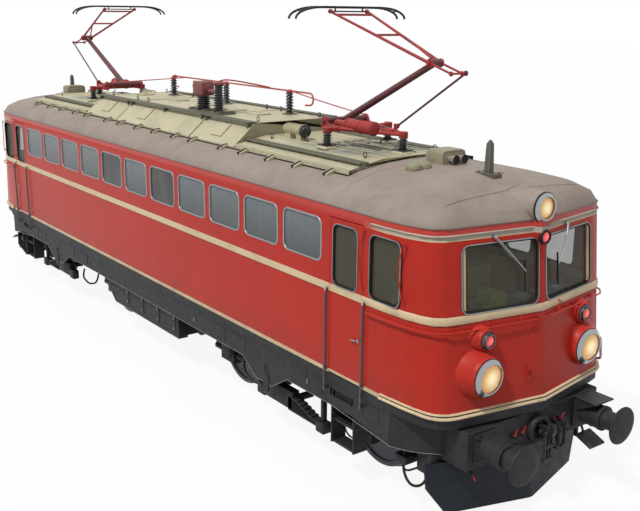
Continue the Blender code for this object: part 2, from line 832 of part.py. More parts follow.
def make_side_wall(side, y_sign):
    """The wall between the doors, with its row of blind windows."""
    reach = DOOR_REAR_X - DOOR_GAP
    low, high = up(BODY_BOTTOM) + SEAT_GAP, up(BODY_TOP) - SEAT_GAP
    forms = [block((-reach, HALF_WIDTH - WALL, low), (reach, HALF_WIDTH, high))]
    cuts = []
    for k in range(SIDE_WINDOW_COUNT):
        x = (k - (SIDE_WINDOW_COUNT - 1) / 2) * SIDE_WINDOW_PITCH
        bottom = (x - SIDE_WINDOW_WIDTH / 2, up(SIDE_WINDOW_LOW))
        top = (x + SIDE_WINDOW_WIDTH / 2, up(SIDE_WINDOW_HIGH))
        outline = rounded(bottom, top, SIDE_WINDOW_CORNER)
        cuts.append(prism(outline, HALF_WIDTH - SIDE_WINDOW_DEPTH, HALF_WIDTH + OVERRUN, "Y"))
    for x_sign in (-1, 1):
        rail = door_rail_forms(DOOR_REAR_X - DOOR_RAIL_GAP, up(BODY_BOTTOM))
        forms += [mirrored(form, x_sign, 1) for form in rail]
    placed = [mirrored(form, 1, y_sign) for form in forms]
    piece(f"side_wall_{side}", placed, "body_red", [mirrored(cut, 1, y_sign) for cut in cuts])


def make_roof():
    """The domed roof with flat seats for its hatches, its top lamps, antennas and horn boxes."""
    whole = nose_path(BODY_TOP, 0)
    rings = [at_height(closed_plan(whole, 1), BODY_TOP)]
    rings.append(at_height(closed_plan(nose_path(CANT_TOP, 0), 1), CANT_TOP))
    for k in range(1, DOME_STEPS + 1):
        angle = math.pi / 2 * min(k / DOME_STEPS, 1 - 1 / DOME_STEPS / 4)
        shrink = math.cos(angle)
        height = CANT_TOP + DOME_RISE * math.sin(angle)
        rings.append(at_height(closed_plan(nose_path(CANT_TOP, 0), shrink), height))
    forms = [loft(rings)]
    cut_low, cut_high = up(HATCH_SEAT), up(CANT_TOP + DOME_RISE) + OVERRUN
    row_low = (HATCH_ROW_X - HATCH_ROW_HALF, -HALF_WIDTH, cut_low)
    cuts = [block(row_low, (HATCH_ROW_X + HATCH_ROW_HALF, HALF_WIDTH, cut_high))]
    for x_sign, horn_x in ((1, HORN_FRONT_X), (-1, HORN_REAR_X)):
        end_forms = [hood_form(), wedge_form(BODY_TOP, WEDGE_HALF, CANT_TOP, WEDGE_HALF)]
        end_forms += antenna_forms() + horn_forms(horn_x) + vent_forms(horn_x + VENT_AHEAD)
        forms += [mirrored(form, x_sign, x_sign) for form in end_forms]
    piece("roof", forms, "roof_grey", cuts)


def antenna_forms():
    """A square tapered post with a pointed top, on a plate."""
    foot = up(CANT_TOP)
    low = (ANTENNA_X - ANTENNA_PLATE, -ANTENNA_PLATE_HALF, foot)
    high = (ANTENNA_X + ANTENNA_PLATE, ANTENNA_PLATE_HALF, up(ANTENNA_PLATE_TOP))
    rings = []
    top = up(ANTENNA_TOP)
    for z, half in (
        (foot, ANTENNA_HALF),
        (up(ANTENNA_PLATE_TOP), ANTENNA_HALF),
        (top - ANTENNA_TIP, ANTENNA_TOP_HALF),
        (top, ANTENNA_TOP_HALF / 4),
    ):
        plan = ((-half, -half), (half, -half), (half, half), (-half, half))
        rings.append([(ANTENNA_X + x, y, z) for x, y in plan])
    return [block(low, high), loft(rings)]


def horn_forms(middle_x):
    """A housing with two horns, whose mouths face the nose."""
    low = (HORN_BOX_Y - HORN_BOX_HALF, up(CANT_TOP))
    outline = rounded(low, (HORN_BOX_Y + HORN_BOX_HALF, up(HORN_BOX_TOP)), HORN_BOX_CORNER)
    front = middle_x + HORN_BOX_LENGTH / 2
    forms = [prism(outline, front - HORN_BOX_LENGTH, front, "X")]
    for sign in (-1, 1):
        profile = [(front - HORN_LENGTH / 2, HORN_THROAT), (front + HORN_LENGTH, HORN_RADIUS)]
        centre = (0, HORN_BOX_Y + HORN_SPACING / 2 * sign, up(HORN_Z))
        forms.append(spun(profile, centre, "X", SPRING_STEPS))
    return forms


def vent_forms(x):
    """Two low domed vents side by side."""
    forms = []
    for sign in (-1, 1):
        profile = [
            (up(CANT_TOP), VENT_RADIUS),
            (up(VENT_TOP) - VENT_RADIUS / 2, VENT_RADIUS),
            (up(VENT_TOP), VENT_RADIUS / 2),
        ]
        forms.append(spun(profile, (x, VENT_Y + VENT_SPACING / 2 * sign, 0), "Z", SPRING_STEPS))
    return forms


def closed_plan(path, shrink):
    """The whole body's outline, drawn in towards the dome's centre line by a share."""
    whole = []
    for x, y in path + [(-x, -y) for x, y in path]:
        reach = abs(x) - DOME_CENTRE_X
        if reach > 0:
            x = math.copysign(DOME_CENTRE_X + reach * shrink, x)
        whole.append((x, y * shrink))
    return [p for i, p in enumerate(whole) if p != whole[i - 1]]


def make_hatches():
    """The five roof hatches on their seat: low ones under the pantographs, high ones between."""
    seat = up(HATCH_SEAT) + SEAT_GAP
    low_section = [
        (HATCH_HALF_WIDTH, seat),
        (HATCH_HALF_WIDTH, up(LOW_HATCH_EDGE)),
        (HATCH_HALF_WIDTH / 2, up(LOW_HATCH_TOP)),
    ]
    high_section = [
        (HATCH_HALF_WIDTH, seat),
        (HATCH_HALF_WIDTH, seat + HATCH_EDGE_HEIGHT),
        (HIGH_HATCH_TOP_HALF, up(HIGH_HATCH_TOP)),
    ]
    rear = HATCH_ROW_X - HATCH_ROW_HALF
    for name, length, half in (
        ("hatch_rear", LONG_HATCH, low_section),
        ("hatch_middle_rear", SHORT_HATCH, high_section),
        ("hatch_middle", LONG_HATCH, high_section),
        ("hatch_middle_front", SHORT_HATCH, high_section),
        ("hatch_front", LONG_HATCH, low_section),
    ):
        outline = half + [(-y, z) for y, z in reversed(half)]
        low_x, high_x = rear + HATCH_JOINT / 2, rear + length - HATCH_JOINT / 2
        low_way, high_way = (LOW_WALKWAY_Y, LOW_WALKWAY_TOP), (HIGH_WALKWAY_Y, HIGH_WALKWAY_TOP)
        edge, top = low_way if half is low_section else high_way
        forms = [prism(outline, low_x, high_x, "X")] + walkway_forms(low_x, high_x, edge, up(top))
        if half is low_section:
            sign, x = (1, CYLINDER_FRONT_X) if name == "hatch_front" else (-1, CYLINDER_REAR_X)
            forms += [mirrored(form, sign, sign) for form in cylinder_forms(x)]
        piece(name, forms, "hatch_cream")
        rear += length


def walkway_forms(low_x, high_x, edge, top):
    """Two bars along each side of a hatch, on brackets."""
    forms = []
    count = max(2, round((high_x - low_x) / WALKWAY_PITCH))
    margin = WALKWAY_BAR
    for y_sign in (-1, 1):
        for inner in (edge, edge - WALKWAY_BAR * 3 / 2):
            bar = block((low_x, inner - WALKWAY_BAR, top - WALKWAY_THICK), (high_x, inner, top))
            forms.append(mirrored(bar, 1, y_sign))
        for k in range(count):
            x = low_x + margin + (high_x - low_x - margin * 2) * k / (count - 1)
            low = (x - WALKWAY_THICK, edge - WALKWAY_BAR * 5 / 2, top - WALKWAY_HEIGHT)
            bracket = block(low, (x + WALKWAY_THICK, edge - WALKWAY_THICK / 2, top - WALKWAY_THICK / 2))
            forms.append(mirrored(bracket, 1, y_sign))
    return forms


def cylinder_forms(middle_x):
    """A pressure cylinder lying on a bracket beside the pantograph."""
    z = up(LOW_HATCH_TOP) + CYLINDER_RISE
    profile = [
        (middle_x - CYLINDER_HALF, CYLINDER_RADIUS * 3 / 4),
        (middle_x - CYLINDER_HALF + CYLINDER_RADIUS / 2, CYLINDER_RADIUS),
        (middle_x + CYLINDER_HALF, CYLINDER_RADIUS),
    ]
    forms = [spun(profile, (0, CYLINDER_Y, z), "X", SPRING_STEPS)]
    for sign in (-1, 1):
        x = middle_x + CYLINDER_HALF * sign / 2
        low = (x - WALKWAY_BAR, CYLINDER_Y - WALKWAY_BAR, up(HATCH_SEAT) + CYLINDER_RADIUS)
        forms.append(block(low, (x + WALKWAY_BAR, CYLINDER_Y + WALKWAY_BAR, z)))
    return forms


def make_underframe():
    """The floor, flat and as wide as the body."""
    plan = closed_plan(nose_path(BODY_BOTTOM, 0), 1)
    slab = loft([at_height(plan, FLOOR_BOTTOM), at_height(plan, BODY_BOTTOM)])
    piece("underframe", [slab], "frame_charcoal")


def make_skirt(side, y_sign):
    """One side's skirt under the floor, with its bogie pads and the cab steps."""
    skirt_out = HALF_WIDTH - SKIRT_INSET
    top = FLOOR_BOTTOM - SEAT_GAP
    half = [(0, SKIRT_BOTTOM)]
    half.append((PIVOT_X - PAD_HALF - PAD_SLOPE, SKIRT_BOTTOM))
    half.append((PIVOT_X - PAD_HALF, PAD_BOTTOM))
    half.append((PIVOT_X + PAD_HALF, PAD_BOTTOM))
    half.append((PIVOT_X + PAD_HALF + PAD_SLOPE, SKIRT_BOTTOM))
    half.append((STEP_FRONT_X, SKIRT_BOTTOM))
    half.append((SKIRT_END_X, SKIRT_END_BOTTOM))
    half.append((SKIRT_END_X, top))
    outline = [(x, up(z)) for x, z in half] + [(-x, up(z)) for x, z in reversed(half[1:])]
    forms = [prism(outline, skirt_out - SKIRT_THICK, skirt_out, "Y")]
    slot = rounded((STEP_REAR_X, up(STEP_SLOT_LOW)), (STEP_FRONT_X, up(STEP_SLOT_HIGH)), PLATE_THICK)
    slot_form = prism(slot, skirt_out - WALL, skirt_out + OVERRUN, "Y")
    cuts = []
    for x_sign in (-1, 1):
        forms += [mirrored(form, x_sign, 1) for form in step_forms(skirt_out)]
        cuts.append(mirrored(slot_form, x_sign, 1))
    placed = [mirrored(form, 1, y_sign) for form in forms]
    piece(f"skirt_{side}", placed, "frame_charcoal", [mirrored(cut, 1, y_sign) for cut in cuts])


def shunt_step_forms():
    """A sloping step hung below one corner of the headstock."""
    rear, front = [Vector(point) for point in (SHUNT_STEP_REAR, SHUNT_STEP_FRONT)]
    outline = [(x, up(z)) for x, z in (rear, front)]
    outline += [(x, z - PLATE_THICK) for x, z in reversed(outline)]
    forms = [prism(outline, SHUNT_STEP_LOW_Y, SHUNT_STEP_HIGH_Y, "Y")]
    low = (rear.x, SHUNT_STEP_LOW_Y, up(rear.y) - PLATE_THICK)
    high = (rear.x + PLATE_THICK * 2, HEADSTOCK_HALF - PLATE_THICK, up(HEADSTOCK_LOW) + PLATE_THICK)
    forms.append(block(low, high))
    return forms


def headstock_forms():
    """The end beam, its ledge in front of the body, and the side panels that run back to the skirts."""
    top = up(FLOOR_BOTTOM) - SEAT_GAP
    rear = HEADSTOCK_X - HEADSTOCK_DEPTH
    low, high = (rear, -HEADSTOCK_HALF, up(HEADSTOCK_LOW)), (HEADSTOCK_X, HEADSTOCK_HALF, up(HEADSTOCK_HIGH))
    forms = [block(low, high)]
    back = HEADSTOCK_X - HEADSTOCK_DEPTH / 2
    forms.append(block((rear, -HEADSTOCK_HALF, up(HEADSTOCK_LOW)), (back, HEADSTOCK_HALF, top)))
    skirt_out = HALF_WIDTH - SKIRT_INSET
    panel = [(SKIRT_END_X + SEAT_GAP, skirt_out), (rear + SKIRT_THICK, HEADSTOCK_HALF)]
    panel += [(x, y - SKIRT_THICK) for x, y in reversed(panel)]
    for y_sign in (-1, 1):
        forms.append(mirrored(prism(panel, up(SKIRT_END_BOTTOM), top), 1, y_sign))
    return forms


def step_forms(skirt_out):
    """Two treads below the cab door, hung between side plates from the skirt."""
    forms = []
    top = up(SKIRT_BOTTOM) + PLATE_THICK * 2
    bottom = up(STEP_HEIGHTS[-1]) - PLATE_THICK
    inner = skirt_out - SKIRT_THICK
    for x in (STEP_REAR_X, STEP_FRONT_X - PLATE_THICK):
        forms.append(block((x, STEP_IN_Y, bottom), (x + PLATE_THICK, inner + PLATE_THICK, top)))
    for height in STEP_HEIGHTS:
        low = (STEP_REAR_X, STEP_IN_Y, up(height) - PLATE_THICK)
        forms.append(block(low, (STEP_FRONT_X, STEP_OUT_Y, up(height))))
    return forms


def make_doors():
    """Four hinged cab doors with their panes. Each opens inwards about its rear edge."""
    for end, x_sign in (("front", 1), ("rear", -1)):
        for side, y_sign in (("right", -x_sign), ("left", x_sign)):
            low_z, high_z = up(BODY_BOTTOM) + DOOR_SILL_GAP, up(BODY_TOP) - DOOR_HEAD_GAP
            inner_y = HALF_WIDTH - DOOR_THICK
            hinge = (DOOR_REAR_X + DOOR_HINGE_INSET, inner_y)
            leaf = block((DOOR_REAR_X, inner_y, low_z), (DOOR_FRONT_X, HALF_WIDTH, high_z))
            pin_low, pin_high = up(BODY_BOTTOM) + SEAT_GAP, up(BODY_TOP) - SEAT_GAP
            pin_ends = [(pin_low, DOOR_PIN_RADIUS), (pin_high, DOOR_PIN_RADIUS)]
            pin = spun(pin_ends, (hinge[0], hinge[1] + DOOR_PIN_RADIUS / 2, 0), "Z", SPRING_STEPS)
            cut = door_window_form(0, inner_y - OVERRUN, HALF_WIDTH + OVERRUN)
            pane_y = inner_y + (DOOR_THICK - GLASS) / 2
            pane = door_window_form(SEAT_GAP, pane_y, pane_y + GLASS)
            origin = (hinge[0] * x_sign, hinge[1] * y_sign, up(BODY_BOTTOM))
            forms = [mirrored(form, x_sign, y_sign) for form in (leaf, pin)]
            piece(f"door_{end}_{side}", forms, "body_red", [mirrored(cut, x_sign, y_sign)], origin)
            piece(f"door_window_{end}_{side}", [mirrored(pane, x_sign, y_sign)], "glass", (), origin)


def door_window_form(inset, inner, outer):
    low = (DOOR_WINDOW_REAR_X + inset, up(WINDOW_LOW) + inset)
    high = (DOOR_WINDOW_FRONT_X - inset, up(WINDOW_HIGH) - inset)
    return prism(rounded(low, high, WINDOW_CORNER - inset), inner, outer, "Y")


def make_cab_interior(end, x_sign):
    """The bulkhead behind the cab, its floor board, the desk and two seats."""
    low_z, high_z = up(BODY_BOTTOM) + SEAT_GAP, up(BODY_TOP) - SEAT_GAP
    wall_y = HALF_WIDTH - WALL - SEAT_GAP
    board_top = low_z + FLOOR_BOARD
    forms = [block((BULKHEAD_X - BULKHEAD_THICK, -wall_y, low_z), (BULKHEAD_X, wall_y, high_z))]
    board_low = (BULKHEAD_X - BULKHEAD_THICK, -FLOOR_BOARD_HALF, low_z)
    forms.append(block(board_low, (DESK_REAR_X, FLOOR_BOARD_HALF, board_top)))
    forms.append(desk_form(low_z))
    for y_sign in (-1, 1):
        y = SEAT_Y * y_sign
        post = [(low_z, SEAT_POST_RADIUS * 2), (low_z + PLATE_THICK, SEAT_POST_RADIUS)]
        post.append((up(SEAT_TOP) - SEAT_THICK / 2, SEAT_POST_RADIUS))
        forms.append(spun(post, (SEAT_X, y, 0), "Z", SPRING_STEPS))
        cushion_low = (SEAT_X - SEAT_HALF, y - SEAT_HALF, up(SEAT_TOP) - SEAT_THICK)
        forms.append(block(cushion_low, (SEAT_X + SEAT_HALF, y + SEAT_HALF, up(SEAT_TOP))))
        back_low = (SEAT_X - SEAT_HALF - SEAT_THICK / 2, y - SEAT_HALF, up(SEAT_TOP) - SEAT_THICK)
        back_high = (SEAT_X - SEAT_HALF + SEAT_THICK / 2, y + SEAT_HALF, up(SEAT_BACK_TOP))
        forms.append(block(back_low, back_high))
    piece(f"cab_interior_{end}", [mirrored(form, x_sign, 1) for form in forms], "cab_green")


def desk_form(low_z):
    """The desk, which fills the nose up to the windscreens and follows its walls."""
    rings = []
    for height in (BODY_BOTTOM + SEAT_GAP, DESK_FACE, DESK_TOP):
        inner = offset(nose_path(height, CAB_REAR_X), WALL + DESK_CLEAR)[2:-2]
        back = DESK_REAR_X if height < DESK_TOP else DESK_REAR_X + PLATE_THICK
        rings.append(at_height([(back, inner[0][1])] + inner + [(back, inner[-1][1])], height))
    return loft(rings)


def make_ends(end, x_sign):
    """Buffers, screw coupling and plough at one headstock."""
    seat = HEADSTOCK_X + SEAT_GAP
    head_x = HEADSTOCK_X + BUFFER_REACH
    for side, y_sign in (("right", -x_sign), ("left", x_sign)):
        half = BUFFER_PLATE / 2
        centre = (0, BUFFER_Y * y_sign, up(BUFFER_Z))
        plate = block(
            (seat, centre[1] - half, centre[2] - half),
            (seat + BUFFER_PLATE_THICK, centre[1] + half, centre[2] + half),
        )
        profile = [
            (seat + BUFFER_PLATE_THICK / 2, BUFFER_SLEEVE_RADIUS),
            (seat + BUFFER_SLEEVE_LENGTH, BUFFER_SLEEVE_RADIUS),
            (seat + BUFFER_SLEEVE_LENGTH, BUFFER_PLUNGER_RADIUS),
            (head_x - BUFFER_HEAD_THICK - BUFFER_CROWN, BUFFER_PLUNGER_RADIUS),
            (head_x - BUFFER_HEAD_THICK, BUFFER_HEAD_RADIUS),
            (head_x - BUFFER_CROWN, BUFFER_HEAD_RADIUS),
            (head_x, BUFFER_FLAT_RADIUS),
        ]
        body = spun(profile, centre, "X", BUFFER_STEPS)
        forms = [plate, body]
        if side == "left":
            forms += tread_forms(seat, centre[1])
        piece(f"buffer_{end}_{side}", [mirrored(form, x_sign, 1) for form in forms], "frame_charcoal")
    make_coupling(end, x_sign, seat)
    make_headstock(end, x_sign)


def tread_forms(seat, y):
    """A tread over a buffer, carried by its plate."""
    top = up(TREAD_TOP)
    low = (seat, y - TREAD_HALF, top - TREAD_THICK)
    forms = [block(low, (seat + TREAD_LENGTH, y + TREAD_HALF, top))]
    web = (seat, y - TREAD_HALF / 2, up(BUFFER_Z) + BUFFER_SLEEVE_RADIUS)
    forms.append(block(web, (seat + BUFFER_PLATE_THICK, y + TREAD_HALF / 2, top)))
    for sign in (-1, 1):
        rib = (seat, y + (TREAD_HALF - TREAD_THICK) * sign, up(BUFFER_Z) + BUFFER_SLEEVE_RADIUS)
        low, high = sorted((rib[1], rib[1] + TREAD_THICK * sign))
        forms.append(block((seat, low, rib[2]), (seat + TREAD_LENGTH / 2, high, top)))
    return forms


def hose_forms(seat):
    """Two brake pipes with their cocks: one pair beside the hook has its hoses looped up."""
    forms = []
    z = up(BUFFER_Z)
    for y, hosed in BRAKE_COCKS:
        cock = [(seat, COCK_RADIUS), (seat + COCK_DEPTH, COCK_RADIUS)]
        forms.append(spun(cock, (0, y, z), "X", SPRING_STEPS))
        if hosed:
            x = seat + COCK_DEPTH - HOSE_RADIUS
            path = [(x, y, z), (x + HOSE_REACH / 2, y, z - HOSE_REACH / 2)]
            path += [(x + HOSE_REACH / 2, y, z - HOSE_DROP + HOSE_REACH / 2), (x, y, z - HOSE_DROP)]
            path.append((seat + HOSE_RADIUS, y, z - HOSE_DROP + HOSE_REACH / 2))
            forms.append(tube(path, HOSE_RADIUS))
    low = (seat, BRAKE_COCKS[0][0], z - COCK_RADIUS / 2)
    forms.append(block(low, (seat + COCK_RADIUS, BRAKE_COCKS[-1][0], z + COCK_RADIUS / 2)))
    return forms


def make_coupling(end, x_sign, seat):
    """The draw hook in its ring, with its screw coupling hanging from it, and the brake pipes."""
    z = up(BUFFER_Z)
    plate = spun([(seat, RING_OUTER), (seat + RING_DEPTH, RING_OUTER)], (0, 0, z), "X", LAMP_STEPS)
    recess = spun(
        [(seat + BUFFER_PLATE_THICK, RING_INNER), (seat + RING_DEPTH + OVERRUN, RING_INNER)],
        (0, 0, z), "X", LAMP_STEPS,
    )
    tip = seat + HOOK_REACH
    outline = [
        (seat, z - HOOK_HEIGHT / 2),
        (tip - HOOK_THICK, z - HOOK_HEIGHT / 2),
        (tip, z),
        (tip, z + HOOK_HEIGHT),
        (tip - HOOK_THICK, z + HOOK_HEIGHT),
        (tip - HOOK_THICK, z + HOOK_HEIGHT / 4),
        (tip - HOOK_THICK * 2, z + HOOK_HEIGHT / 4),
        (tip - HOOK_THICK * 2, z + HOOK_HEIGHT / 2),
        (seat, z + HOOK_HEIGHT / 2),
    ]
    hook = prism(outline, -HOOK_THICK / 2, HOOK_THICK / 2, "Y")
    x = tip - HOOK_THICK * 3 / 2
    forms = [hook]
    for y in (-LINK_HALF, LINK_HALF):
        forms.append(rod((x, y, z), (x, y * 2 / 3, z - LINK_DROP), LINK_RADIUS))
    for height, reach in ((z, LINK_HALF), (z - LINK_DROP / 2, LINK_HALF), (z - LINK_DROP, LINK_HALF)):
        low, high = (x, -reach - LINK_RADIUS, height), (x, reach + LINK_RADIUS, height)
        forms.append(rod(low, high, LINK_RADIUS * 3 / 2))
    forms += hose_forms(seat)
    placed = [mirrored(form, x_sign, x_sign) for form in forms]
    ring = raw_object("draw_ring", mirrored(plate, x_sign, 1))
    boolean(ring, [mirrored(recess, x_sign, 1)], "DIFFERENCE", (0, 0, 0))
    corners = [tuple(vert.co) for vert in ring.data.vertices]
    cup = (corners, [list(face.vertices) for face in ring.data.polygons])
    bpy.data.objects.remove(ring, do_unlink=True)
    piece(f"coupling_{end}", [cup] + placed, "frame_charcoal")


def make_headstock(end, x_sign):
    """The headstock with its step, and the V-shaped rail guard on two brackets below it."""
    rings = []
    for height, rake in ((PLOUGH_LOW, PLOUGH_RAKE), (PLOUGH_HIGH, 0)):
        path = [(PLOUGH_END_X + rake, PLOUGH_END_Y), (PLOUGH_APEX_X - PLOUGH_RAKE + rake, 0)]
        path.append((PLOUGH_END_X + rake, -PLOUGH_END_Y))
        back = offset(path, PLOUGH_THICK)
        rings.append(at_height(path + back[::-1], height))
    forms = [loft(rings)]
    for y_sign in (-1, 1):
        y = PLOUGH_BRACKET_Y * y_sign
        share = PLOUGH_BRACKET_Y / PLOUGH_END_Y
        front = PLOUGH_APEX_X - PLOUGH_RAKE - (PLOUGH_APEX_X - PLOUGH_RAKE - PLOUGH_END_X) * share
        low = (front - PLOUGH_BRACKET * 2, y - PLOUGH_THICK, up(HEADSTOCK_LOW) - PLOUGH_BRACKET * 2)
        high = (front - PLOUGH_THICK / 2, y + PLOUGH_THICK, up(HEADSTOCK_LOW) + OVERRUN)
        forms.append(block(low, high))
    cuts = []
    for y_sign in (-1, 1):
        corner = [
            (PLOUGH_CORNER_IN_Y, up(PLOUGH_LOW) - OVERRUN),
            (PLOUGH_END_Y + OVERRUN, up(PLOUGH_LOW) - OVERRUN),
            (PLOUGH_END_Y + OVERRUN, up(PLOUGH_CORNER_HIGH)),
        ]
        cuts.append(mirrored(prism(corner, PLOUGH_END_X - PLOUGH_RAKE, PLOUGH_APEX_X, "X"), 1, y_sign))
    placed = [mirrored(cut, x_sign, 1) for cut in cuts]
    placed_forms = [mirrored(form, x_sign, 1) for form in forms + headstock_forms()]
    placed_forms += [mirrored(form, x_sign, x_sign) for form in shunt_step_forms()]
    piece(f"headstock_{end}", placed_forms, "frame_charcoal", placed)


def make_underfloor():
    """The equipment case with its side lockers between the bogies, and the air reservoir."""
    top = up(FLOOR_BOTTOM) - SEAT_GAP
    outline = [(BOX_SLOPE_X, up(BOX_BOTTOM)), (BOX_FRONT_X, up(BOX_BOTTOM)), (BOX_FRONT_X, top)]
    outline += [(BOX_REAR_X, top), (BOX_REAR_X, up(SKIRT_BOTTOM))]
    locker = prism(outline, LOCKER_IN_Y, BOX_HALF_WIDTH, "Y")
    low = (BOX_SLOPE_X, -LOCKER_IN_Y - PLATE_THICK, up(BOX_BOTTOM) + PLATE_THICK)
    case = block(low, (BOX_FRONT_X - PLATE_THICK, LOCKER_IN_Y + PLATE_THICK, top))
    piece("equipment_case", [case, locker, mirrored(locker, 1, -1)], "frame_charcoal")
    profile = [(-TANK_HALF, TANK_RADIUS / 2), (-TANK_HALF + TANK_RADIUS / 2, TANK_RADIUS)]
    profile += [(-distance, radius) for distance, radius in reversed(profile)]
    tank = spun(profile, (TANK_X, 0, up(TANK_Z)), "Y", LAMP_STEPS)
    forms = [tank]
    for y_sign in (-1, 1):
        y = TANK_HALF * y_sign / 2
        low = (TANK_X - TANK_RADIUS / 2, y - PLATE_THICK, up(TANK_Z))
        forms.append(block(low, (TANK_X + TANK_RADIUS / 2, y + PLATE_THICK, top)))
    piece("air_reservoir", forms, "frame_charcoal")


def make_transformer():
    low = (-TRANSFORMER_HALF_LENGTH, -TRANSFORMER_HALF_WIDTH, up(BODY_BOTTOM) + SEAT_GAP)
    high = (TRANSFORMER_HALF_LENGTH, TRANSFORMER_HALF_WIDTH, up(TRANSFORMER_TOP))
    piece("transformer", [block(low, high)], "transformer_grey")


def make_bogie(end, x_sign):
    """A bogie frame with its bolster, motors, axle boxes and springs, and its two wheelsets."""
    origin = (PIVOT_X * x_sign, 0, up(FLOOR_BOTTOM))
    half_sill = [
        (SILL_BELLY_X, SILL_BELLY),
        (SILL_SHOULDER_X, SILL_BOTTOM),
        (SILL_END_X, SILL_BOTTOM),
        (SILL_END_X, SILL_END_TOP),
        (SILL_SHOULDER_X, SILL_TOP),
    ]
    outline = [(x, up(z)) for x, z in half_sill] + [(-x, up(z)) for x, z in reversed(half_sill)]
    transom_low = (-TRANSOM_HALF, -SILL_IN_Y - OVERRUN, up(TRANSOM_BOTTOM))
    forms = [block(transom_low, (TRANSOM_HALF, SILL_IN_Y + OVERRUN, up(TRANSOM_TOP)))]
    plate = [(up(TRANSOM_BOTTOM) + OVERRUN, PIVOT_RADIUS), (up(FLOOR_BOTTOM) - SEAT_GAP, PIVOT_RADIUS)]
    forms.append(spun(plate, (0, 0, 0), "Z", LAMP_STEPS))
    cuts = []
    for y_sign in (-1, 1):
        forms.append(mirrored(prism(outline, SILL_IN_Y, SILL_OUT_Y, "Y"), 1, y_sign))
        for wheel_sign in (-1, 1):
            for form in axle_box_forms() + brake_forms():
                forms.append(mirrored(form, wheel_sign, y_sign))
            bore_radius = (JOURNAL_RADIUS + PIN_GAP) / math.cos(math.pi / BORE_STEPS)
            bore = [(AXLE_BOX_IN_Y - OVERRUN, bore_radius), (JOURNAL_END_Y + OVERRUN / 2, bore_radius)]
            bore = spun(bore, (WHEELBASE / 2, 0, up(AXLE_HEIGHT)), "Y", BORE_STEPS)
            cuts.append(mirrored(bore, wheel_sign, y_sign))
    for wheel_sign in (-1, 1):
        motor = [(-MOTOR_HALF, MOTOR_RADIUS), (MOTOR_HALF, MOTOR_RADIUS)]
        forms.append(spun(motor, (MOTOR_X * wheel_sign, 0, up(MOTOR_Z)), "Y", MOTOR_STEPS))
    forms = [at_bogie(form, x_sign) for form in forms]
    cuts = [at_bogie(cut, x_sign) for cut in cuts]
    piece(f"bogie_frame_{end}", forms, "frame_charcoal", cuts, origin)
    for name, sign in (("outer", 1), ("inner", -1)):
        axle_x = (PIVOT_X + WHEELBASE / 2 * sign) * x_sign
        make_wheelset(f"wheelset_{end}_{name}", axle_x)


def at_bogie(form, x_sign):
    """A form about the pivot, set down at one bogie's place."""
    points = [(x + PIVOT_X, y, z) for x, y, z in form[0]]
    return mirrored((points, form[1]), x_sign, x_sign)


def axle_box_forms():
    """An axle box under the sill, with its wings and the two springs that stand on them."""
    x, top = WHEELBASE / 2, up(SILL_BOTTOM) + OVERRUN
    low = (x - AXLE_BOX_HALF, AXLE_BOX_IN_Y, up(AXLE_BOX_BOTTOM))
    forms = [block(low, (x + AXLE_BOX_HALF, AXLE_BOX_OUT_Y, top))]
    wing_low = (x - WING_HALF, SILL_IN_Y, up(WING_BOTTOM))
    forms.append(block(wing_low, (x + WING_HALF, SILL_OUT_Y, up(WING_TOP))))
    for side in (-1, 1):
        spring = [(up(WING_TOP) - OVERRUN, SPRING_RADIUS), (top, SPRING_RADIUS)]
        middle = (SILL_IN_Y + SILL_OUT_Y) / 2
        forms.append(spun(spring, (x + SPRING_X * side, middle, 0), "Z", SPRING_STEPS))
    return forms


def brake_forms():
    """A brake shoe behind a wheel, on a hanger from the sill."""
    front = WHEELBASE / 2 - WHEEL_RADIUS - SHOE_GAP
    low = (front - SHOE_THICK, SHOE_IN_Y, up(SHOE_LOW))
    forms = [block(low, (front, RIM_OUT_Y, up(SHOE_HIGH)))]
    low = (front - SHOE_THICK, SHOE_IN_Y, up(SHOE_HIGH) - SHOE_THICK)
    forms.append(block(low, (front - SHOE_GAP, SHOE_IN_Y + SHOE_THICK, up(HANGER_TOP))))
    low = (front - SHOE_THICK, SHOE_IN_Y, up(HANGER_TOP) - SHOE_THICK)
    forms.append(block(low, (front - SHOE_GAP, SILL_IN_Y + SHOE_THICK, up(HANGER_TOP))))
    return forms


def make_wheelset(name, axle_x):
    """Two flanged wheels pressed on one axle, turned as one profile."""
    flange = WHEEL_RADIUS + FLANGE_DEPTH
    half = [
        (JOURNAL_END_Y, JOURNAL_RADIUS),
        (SHOULDER_Y, JOURNAL_RADIUS),
        (SHOULDER_Y, AXLE_RADIUS),
        (HUB_OUT_Y, AXLE_RADIUS),
        (HUB_OUT_Y, HUB_RADIUS),
        (WEB_OUT_Y, HUB_RADIUS),
        (WEB_OUT_Y, RIM_IN_RADIUS),
        (RIM_OUT_Y, RIM_IN_RADIUS),
        (RIM_OUT_Y, WHEEL_RADIUS),
        (FLANGE_ROOT_Y, WHEEL_RADIUS),
        (FLANGE_TIP_Y, flange),
        (RIM_BACK_Y, flange),
        (RIM_BACK_Y, AXLE_RADIUS),
    ]
    profile = [(-y, radius) for y, radius in half] + half[::-1]
    origin = (axle_x, 0, up(AXLE_HEIGHT))
    piece(name, [spun(profile, origin, "Y", WHEEL_STEPS, 0)], "steel", (), origin)


def insulator(centre, bottom, top):
    return ribbed(centre, bottom, top, INSULATOR_RADIUS, INSULATOR_CORE)


def ribbed(centre, bottom, top, shed, core):
    """A ribbed post: sheds on a round core."""
    profile = [(bottom, shed)]
    pitch = (top - bottom) / INSULATOR_SHEDS
    for k in range(INSULATOR_SHEDS):
        profile.append((bottom + pitch * k + pitch / 4, shed))
        profile.append((bottom + pitch * k + pitch / 2, core))
        profile.append((bottom + pitch * (k + 1), core))
    return spun(profile, (centre[0], centre[1], 0), "Z", SPRING_STEPS)


